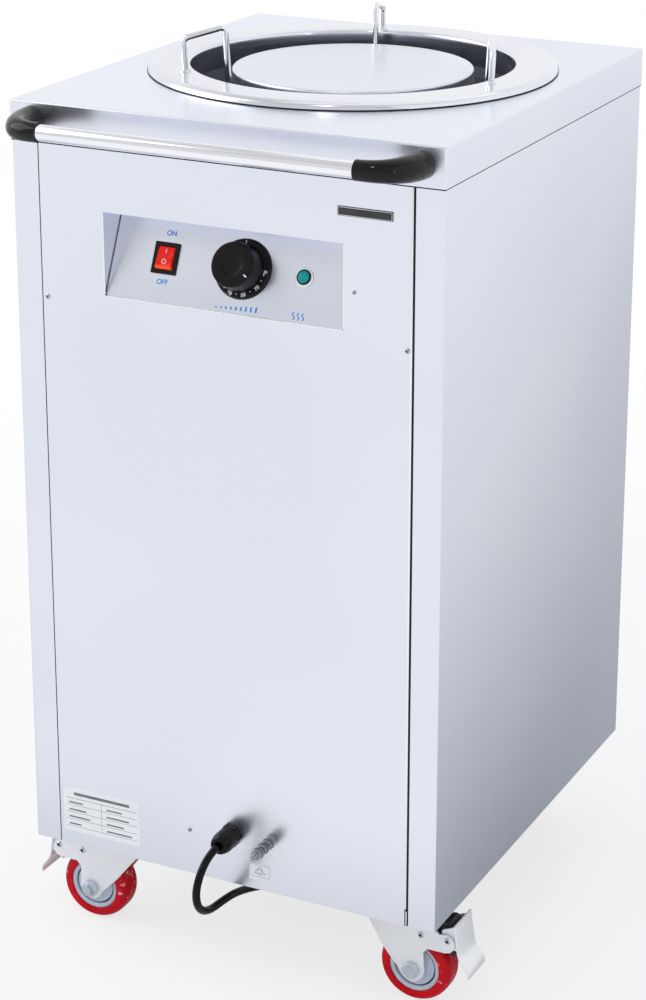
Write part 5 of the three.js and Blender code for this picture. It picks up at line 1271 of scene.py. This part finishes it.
tyre_half = [(26.9, 15.5), (33.6, 15.5), (36.9, 11.2), (38, 7), (38, 0)]
tyre_profile = softened([(r, -w) for r, w in tyre_half] + [(r, w) for r, w in tyre_half[-2::-1]],
                        [0.3, 1.6, 2.2, 2.6, 0, 2.6, 2.2, 1.6, 0.3], 5, closed=True)
hub_half = [(5.5, 17.2), (9.3, 17.2), (9.8, 12.2), (20.6, 11.8), (20.9, 8), (22, 8), (22.3, 12.6),
            (23, 13.5), (26.6, 13.5)]
hub_soft = [0.3, 0.8, 1.2, 0.3, 0.3, 0.3, 0.4, 0.4, 0.4]
hub_profile = softened(hub_half + [(r, -w) for r, w in hub_half[::-1]], hub_soft + hub_soft[::-1], 4,
                       closed=True)


def fork_fold(a, b):
    """Where the fork's crown turns down into its two sides."""
    flat = near(a.z, FORK_CROWN) and near(b.z, FORK_CROWN)
    return flat and near(a.y, b.y) and any(near(a.y, y - FORK_HALF, y + FORK_HALF)
                                           for y in (FRONT_SWIVEL_Y, REAR_SWIVEL_Y))


def pinched_front(fork, x, y, trail):
    """Ahead of the axle the fork's two sides draw together: the width across the wheel shrinks with
    the square of the distance past the crease."""
    bm = bmesh.new()
    bm.from_mesh(fork.data)
    for out in range(CREASE, -20, -3):
        bmesh.ops.bisect_plane(bm, geom=bm.verts[:] + bm.edges[:] + bm.faces[:], dist=1e-6,
                               plane_co=((x + trail * out) * MM, 0, 0), plane_no=(1, 0, 0))
    for vert in bm.verts:
        past = max(0, CREASE - (vert.co.x / MM - x) * trail)
        vert.co.y = y * MM + (vert.co.y - y * MM) * (1 - PINCH * past ** 2 / FORK_HALF)
    bm.to_mesh(fork.data)
    bm.free()


def rivet(head, lift, hole=1.8, rise=1.3):
    """A domed head whose height falls off as the square of the radius, with a punched hollow."""
    r = np.linspace(head, hole, 9)
    dome = np.stack([r, lift + rise * (1 - ((r - hole) / (head - hole)) ** 2)], 1)
    return np.vstack([[(0, lift - 1), (head, lift - 1)], dome, [(hole, lift + 0.2), (0, lift + 0.1)]])


def bolt_shape():
    """Hexagon head with a round face, shank, lock nut and the thread's end, along the axle."""
    face = FORK_HALF + 0.3
    head = joined(hex_nut(NUT_ACROSS, face, face + 4.4), spun(
        [(0, face + 4.2), (6.7, face + 4.2), (6.4, face + 5), (0, face + 5)], 48))
    nut = joined(hex_nut(NUT_ACROSS, -face - 6.2, -face, bore=4.9), spun(softened(
        [(4.9, -face - 5.6), (6.9, -face - 5.6), (6.5, -face - 8), (4.9, -face - 8)], 0.5, 3, closed=True),
        48, closed=True))
    return joined(head, nut, threaded(4.95, -face - 10, face, 1.25, 28))


for label, x, y, trail, head_way, braked in CASTERS:
    def to_side(shape, out=0.0, up=0.0):
        """From the fork's side view, out along the trail and up, with Z across the wheel."""
        return placed(shape, (x + trail * out, y, up), (trail, 0, 0), (0, 0, 1))

    eased(f"mount_plate_{label}", f"caster_plate_{label}", "zinc", 0.6, fork_zinc)
    fork = eased(f"fork_sheet_{label}", f"caster_fork_{label}", "zinc", 0.35, fork_zinc, fork_fold, 2.4, 50)
    pinched_front(fork, x, y, trail)

    tread = mesh_object(f"tread_{label}", *to_side(spun(tyre_profile, 128, closed=True), TRAIL, WHEEL_R),
                        sharp=50)
    stands_for(tread, tyre_red, "tyre_red", f"tyre_{label}")
    wheel = mesh_object(f"wheel_hub_{label}", *to_side(spun(hub_profile, 96, closed=True), TRAIL, WHEEL_R),
                        sharp=50)
    stands_for(wheel, hub_grey, "hub_grey", f"hub_{label}")
    # painted shade: thin black rings in the hub's grooves, between its rim and its web
    groove_shades = [spun([(20.95, way * 8.3), (21.95, way * 8.3), (21.95, way * 10.6), (20.95, way * 10.6)], 96,
                 closed=True) for way in (-1, 1)]
    groove_shade_ring = mesh_object(f"hub_groove_shade_{label}", *to_side(joined(*groove_shades), TRAIL, WHEEL_R), sharp=50)
    goes_with(groove_shade_ring, block_rubber, f"wheel_{label}")
    bolt = mesh_object(f"axle_bolt_{label}", *placed(bolt_shape(), (x + trail * TRAIL, y, WHEEL_R),
                                                     (1, 0, 0), (0, 0, -head_way)))
    stands_for(bolt, bolt_zinc, "zinc", f"axle_{label}")

    spots = [("fork", FORK_RIVET, f"caster_{label}")]
    if braked:
        spots.append(("pivot", PEDAL_PIVOT, f"brake_{label}"))
    for where, (out, up), body in spots:
        at = (x + trail * out, y, up)
        heads = [placed(spun(rivet(RIVET_R, FORK_HALF + 0.2), 32), at, (trail, 0, 0), (0, 0, way))
                 for way in (1, -1)]
        rivets = mesh_object(f"{where}_rivets_{label}", *joined(*heads), sharp=50)
        goes_with(rivets, bolt_zinc, body)
        # painted shade: a dark plug in each rivet's hollow stands in for the shade inside it
        shade_plugs = [placed(spun([(0, FORK_HALF - 0.6), (1.75, FORK_HALF - 0.6), (1.75, FORK_HALF + 0.75),
                                (0, FORK_HALF + 0.55)], 24), at, (trail, 0, 0), (0, 0, way))
                   for way in (1, -1)]
        punched = mesh_object(f"{where}_rivet_hollow_shade_{label}", *joined(*shade_plugs), sharp=50)
        goes_with(punched, dark_steel, body)
    race = softened([(20.5, 91), (23.4, 91), (24, 92.6), (23.2, 94.3), (20.5, 94.3)], 0.5, 3, closed=True)
    ball_race = mesh_object(f"ball_race_{label}", *placed(spun(race, 64, closed=True), (x, y, 0),
                                                          (1, 0, 0), (0, 1, 0)), sharp=50)
    goes_with(ball_race, dark_steel)
    if not braked:
        continue
    inner_line = curve_through(PEDAL_FACE, 4)
    face = slab(np.vstack([inner_line, (inner_line + [(2, 0)])[::-1]]), -FORK_HALF, FORK_HALF, 0.5)
    px, pz = PEDAL_PIVOT
    arm_line = softened([(px - 8, pz + 9), (px - 6, pz - 9), (78.4, 68), (74.4, 94)], [3, 4, 0.6, 0.6], 5,
                        closed=True)
    arms = [slab(arm_line, way * 15.9 - 1, way * 15.9 + 1, 0.3) for way in (-1, 1)]
    pin_line = softened([(0, -19.8), (3, -19.8), (3, 19.8), (0, 19.8)], 0.4, 3)
    pin, pin_faces = spun(pin_line, 32)
    pedal = mesh_object(f"pedal_{label}", *to_side(joined(
        face, *arms, (pin + [px, pz, 0], pin_faces))), sharp=40)
    stands_for(pedal, fork_zinc, "zinc", f"brake_pedal_{label}")
    block = mesh_object(f"brake_block_{label}", *to_side(
        slab(softened(BRAKE_BLOCK, 2.5, 4, closed=True), -11, 11, 1)), sharp=40)
    goes_with(block, block_rubber, f"brake_{label}")

# ---- Plates, labels and screws ----
# A bare black nameplate with a bright rim, a white rating label with ruled lines and plain bars, and an
# earth label with a plain bonding sign; chrome cross-head screws hold the front and back panels.

NAMEPLATE = (119, 807, 174, 816)
RATING_LABEL = (-190.5, 122, -101.5, 171.5)
EARTH_LABEL = (23, 117.5, 46.4, 135.7)
FRONT_SCREWS = [(-189.6, 690.7, 2.6), (189.2, 689.1, 2.6), (-43.6, 155.5, 2.4), (136, 737, 2.1)]
BACK_SCREWS = [(side * 189, z, 2.6) for side in (-1, 1) for z in (150, 470, 790)]

plate_x, plate_z, plate_right, plate_top = NAMEPLATE
nameplate = mesh_object("nameplate", *from_front(slab(
    rectangle(plate_x, plate_z, plate_right, plate_top, 0.8), 0.05, 0.9, 0.25), 0, 0))
plate_black = finish("plate_black", [(0.02, 0.02, 0.022, 1), (0.035, 0.035, 0.038, 1)], (0.3, 0.45),
                     (60, 60, 1500), cloud=40, bump=0.15, depth=0.03)
goes_with(nameplate, plate_black)
frame_lines = [((plate_x + 0.5, plate_z + 0.5), (plate_right - 0.5, plate_z + 1.1)),
               ((plate_x + 0.5, plate_top - 1.1), (plate_right - 0.5, plate_top - 0.5)),
               ((plate_x + 0.5, plate_z + 1.1), (plate_x + 1.1, plate_top - 1.1)),
               ((plate_right - 1.1, plate_z + 1.1), (plate_right - 0.5, plate_top - 1.1))]
rim = mesh_object("nameplate_rim", *from_front(joined(*[
    slab(rectangle(*low, *high), 0.85, 1.15, 0.1, 2) for low, high in frame_lines]), 0, 0))
goes_with(rim, bolt_zinc)

paper = finish("label_white", [(0.93, 0.94, 0.96, 1), (0.95, 0.96, 0.97, 1)], (0.4, 0.55),
               1500, cloud=40, bump=0.05, depth=0.02)
ink = finish("label_ink", [(0.16, 0.17, 0.19, 1), (0.22, 0.23, 0.25, 1)], (0.5, 0.6), 1500,
             cloud=90)
labels = mesh_object("labels", *from_front(joined(
    slab(rectangle(*RATING_LABEL, 1), 0.02, 0.14, 0.04, 1),
    slab(rectangle(*EARTH_LABEL, 0.6), 0.02, 0.14, 0.04, 1)), 0, 0))
goes_with(labels, paper)
left, low, right, high = RATING_LABEL
rules = [(left + 3, high - 12.6, right - 3, high - 12.1)]
rules += [(left + 3, high - 12.1 - step, right - 3, high - 11.7 - step) for step in (8, 16, 24, 32)]
rules += [(left + 12, high - 8.6, right - 12, high - 5.4), (left + 44, low + 5, left + 44.4, high - 12.6)]
rules += [(left + 6, high - 18 - step, left + 6 + length, high - 16.3 - step)
          for step, length in ((0, 16), (8, 20), (16, 24), (24, 14))]
rules += [(left + 50, high - 18 - step, left + 50 + length, high - 16.3 - step)
          for step, length in ((0, 18), (8, 26), (16, 20), (24, 30))]
left, low, right, high = EARTH_LABEL
rules += [(left + 0.8, high - 1.2, right - 0.8, high - 0.9), (left + 0.8, low + 4, right - 0.8, low + 4.3),
          (left + 0.8, low + 4, left + 1.1, high - 0.9), (right - 1.1, low + 4, right - 0.8, high - 0.9)]
middle = (left + right) / 2
triangle = softened([(middle - 6.2, low + 7.6), (middle + 6.2, low + 7.6), (middle, high - 2.6)], 0.5, 2,
                    closed=True)
circle = np.stack([middle + 2.6 * np.cos(ROUND), low + 10.2 + 2.6 * np.sin(ROUND)], 1)
bonding = [hoop(np.insert(loop, 2, 0.13, axis=1), 0.22, 6) for loop in (triangle, circle)]
rules.append((middle - 0.2, low + 5, middle + 0.2, low + 7.4))
printing = mesh_object("label_rules", *from_front(joined(*bonding, *[
    slab(rectangle(*rule), 0.14, 0.17, 0.01, 1) for rule in rules]), 0, 0))
goes_with(printing, ink)


def screw_head(radius, turned_by=0.0):
    """A round head whose height is a low dome, less a cross-shaped recess: the recess is where the
    point lies within a slot's half width of either axis and inside half the radius."""
    sides = 48
    share = np.array([1, 0.985, 0.94, 0.86, 0.76, 0.66, 0.58, 0.54, 0.5, 0.42, 0.32, 0.24, 0.18, 0.14, 0.1,
                      0])[:, None]
    angle = np.linspace(0, 2 * np.pi, sides, endpoint=False)
    x, y = share * np.cos(angle), share * np.sin(angle)
    height = 0.62 * np.sqrt(np.clip(1 - 0.96 * share ** 2, 0, 1)) * np.ones_like(x)
    close = np.minimum(np.abs(x * math.cos(turned_by) + y * math.sin(turned_by)),
                       np.abs(y * math.cos(turned_by) - x * math.sin(turned_by)))
    inside = np.clip((0.15 - close) / 0.03, 0, 1) * np.clip((0.56 - share) / 0.04, 0, 1)
    points = np.stack([x, y, height - 0.5 * inside], -1) * radius
    skirt = np.stack([x[0], y[0], np.full(sides, -0.1)], -1) * radius
    return np.vstack([skirt, points.reshape(-1, 3)]), grid_faces(len(share) + 1, sides, False, True)


screws = [from_front(screw_head(radius, 0.4 + index), x, z)
          for index, (x, z, radius) in enumerate(FRONT_SCREWS)]
screws += [placed(screw_head(radius, 0.9 * index), (x, BODY_BACK - 0.6, z), (-1, 0, 0), (0, 0, 1))
           for index, (x, z, radius) in enumerate(BACK_SCREWS)]
panel_screws = mesh_object("panel_screws", *joined(*screws), sharp=30)
chrome = finish("chrome", [(0.36, 0.37, 0.39, 1), (0.5, 0.51, 0.53, 1)], (0.1, 0.2), 500,
                cloud=200, Metallic=1.0)
goes_with(panel_screws, chrome)
eased("terminal_case", "terminal_box", "box_plastic", 1.2, bakelite)
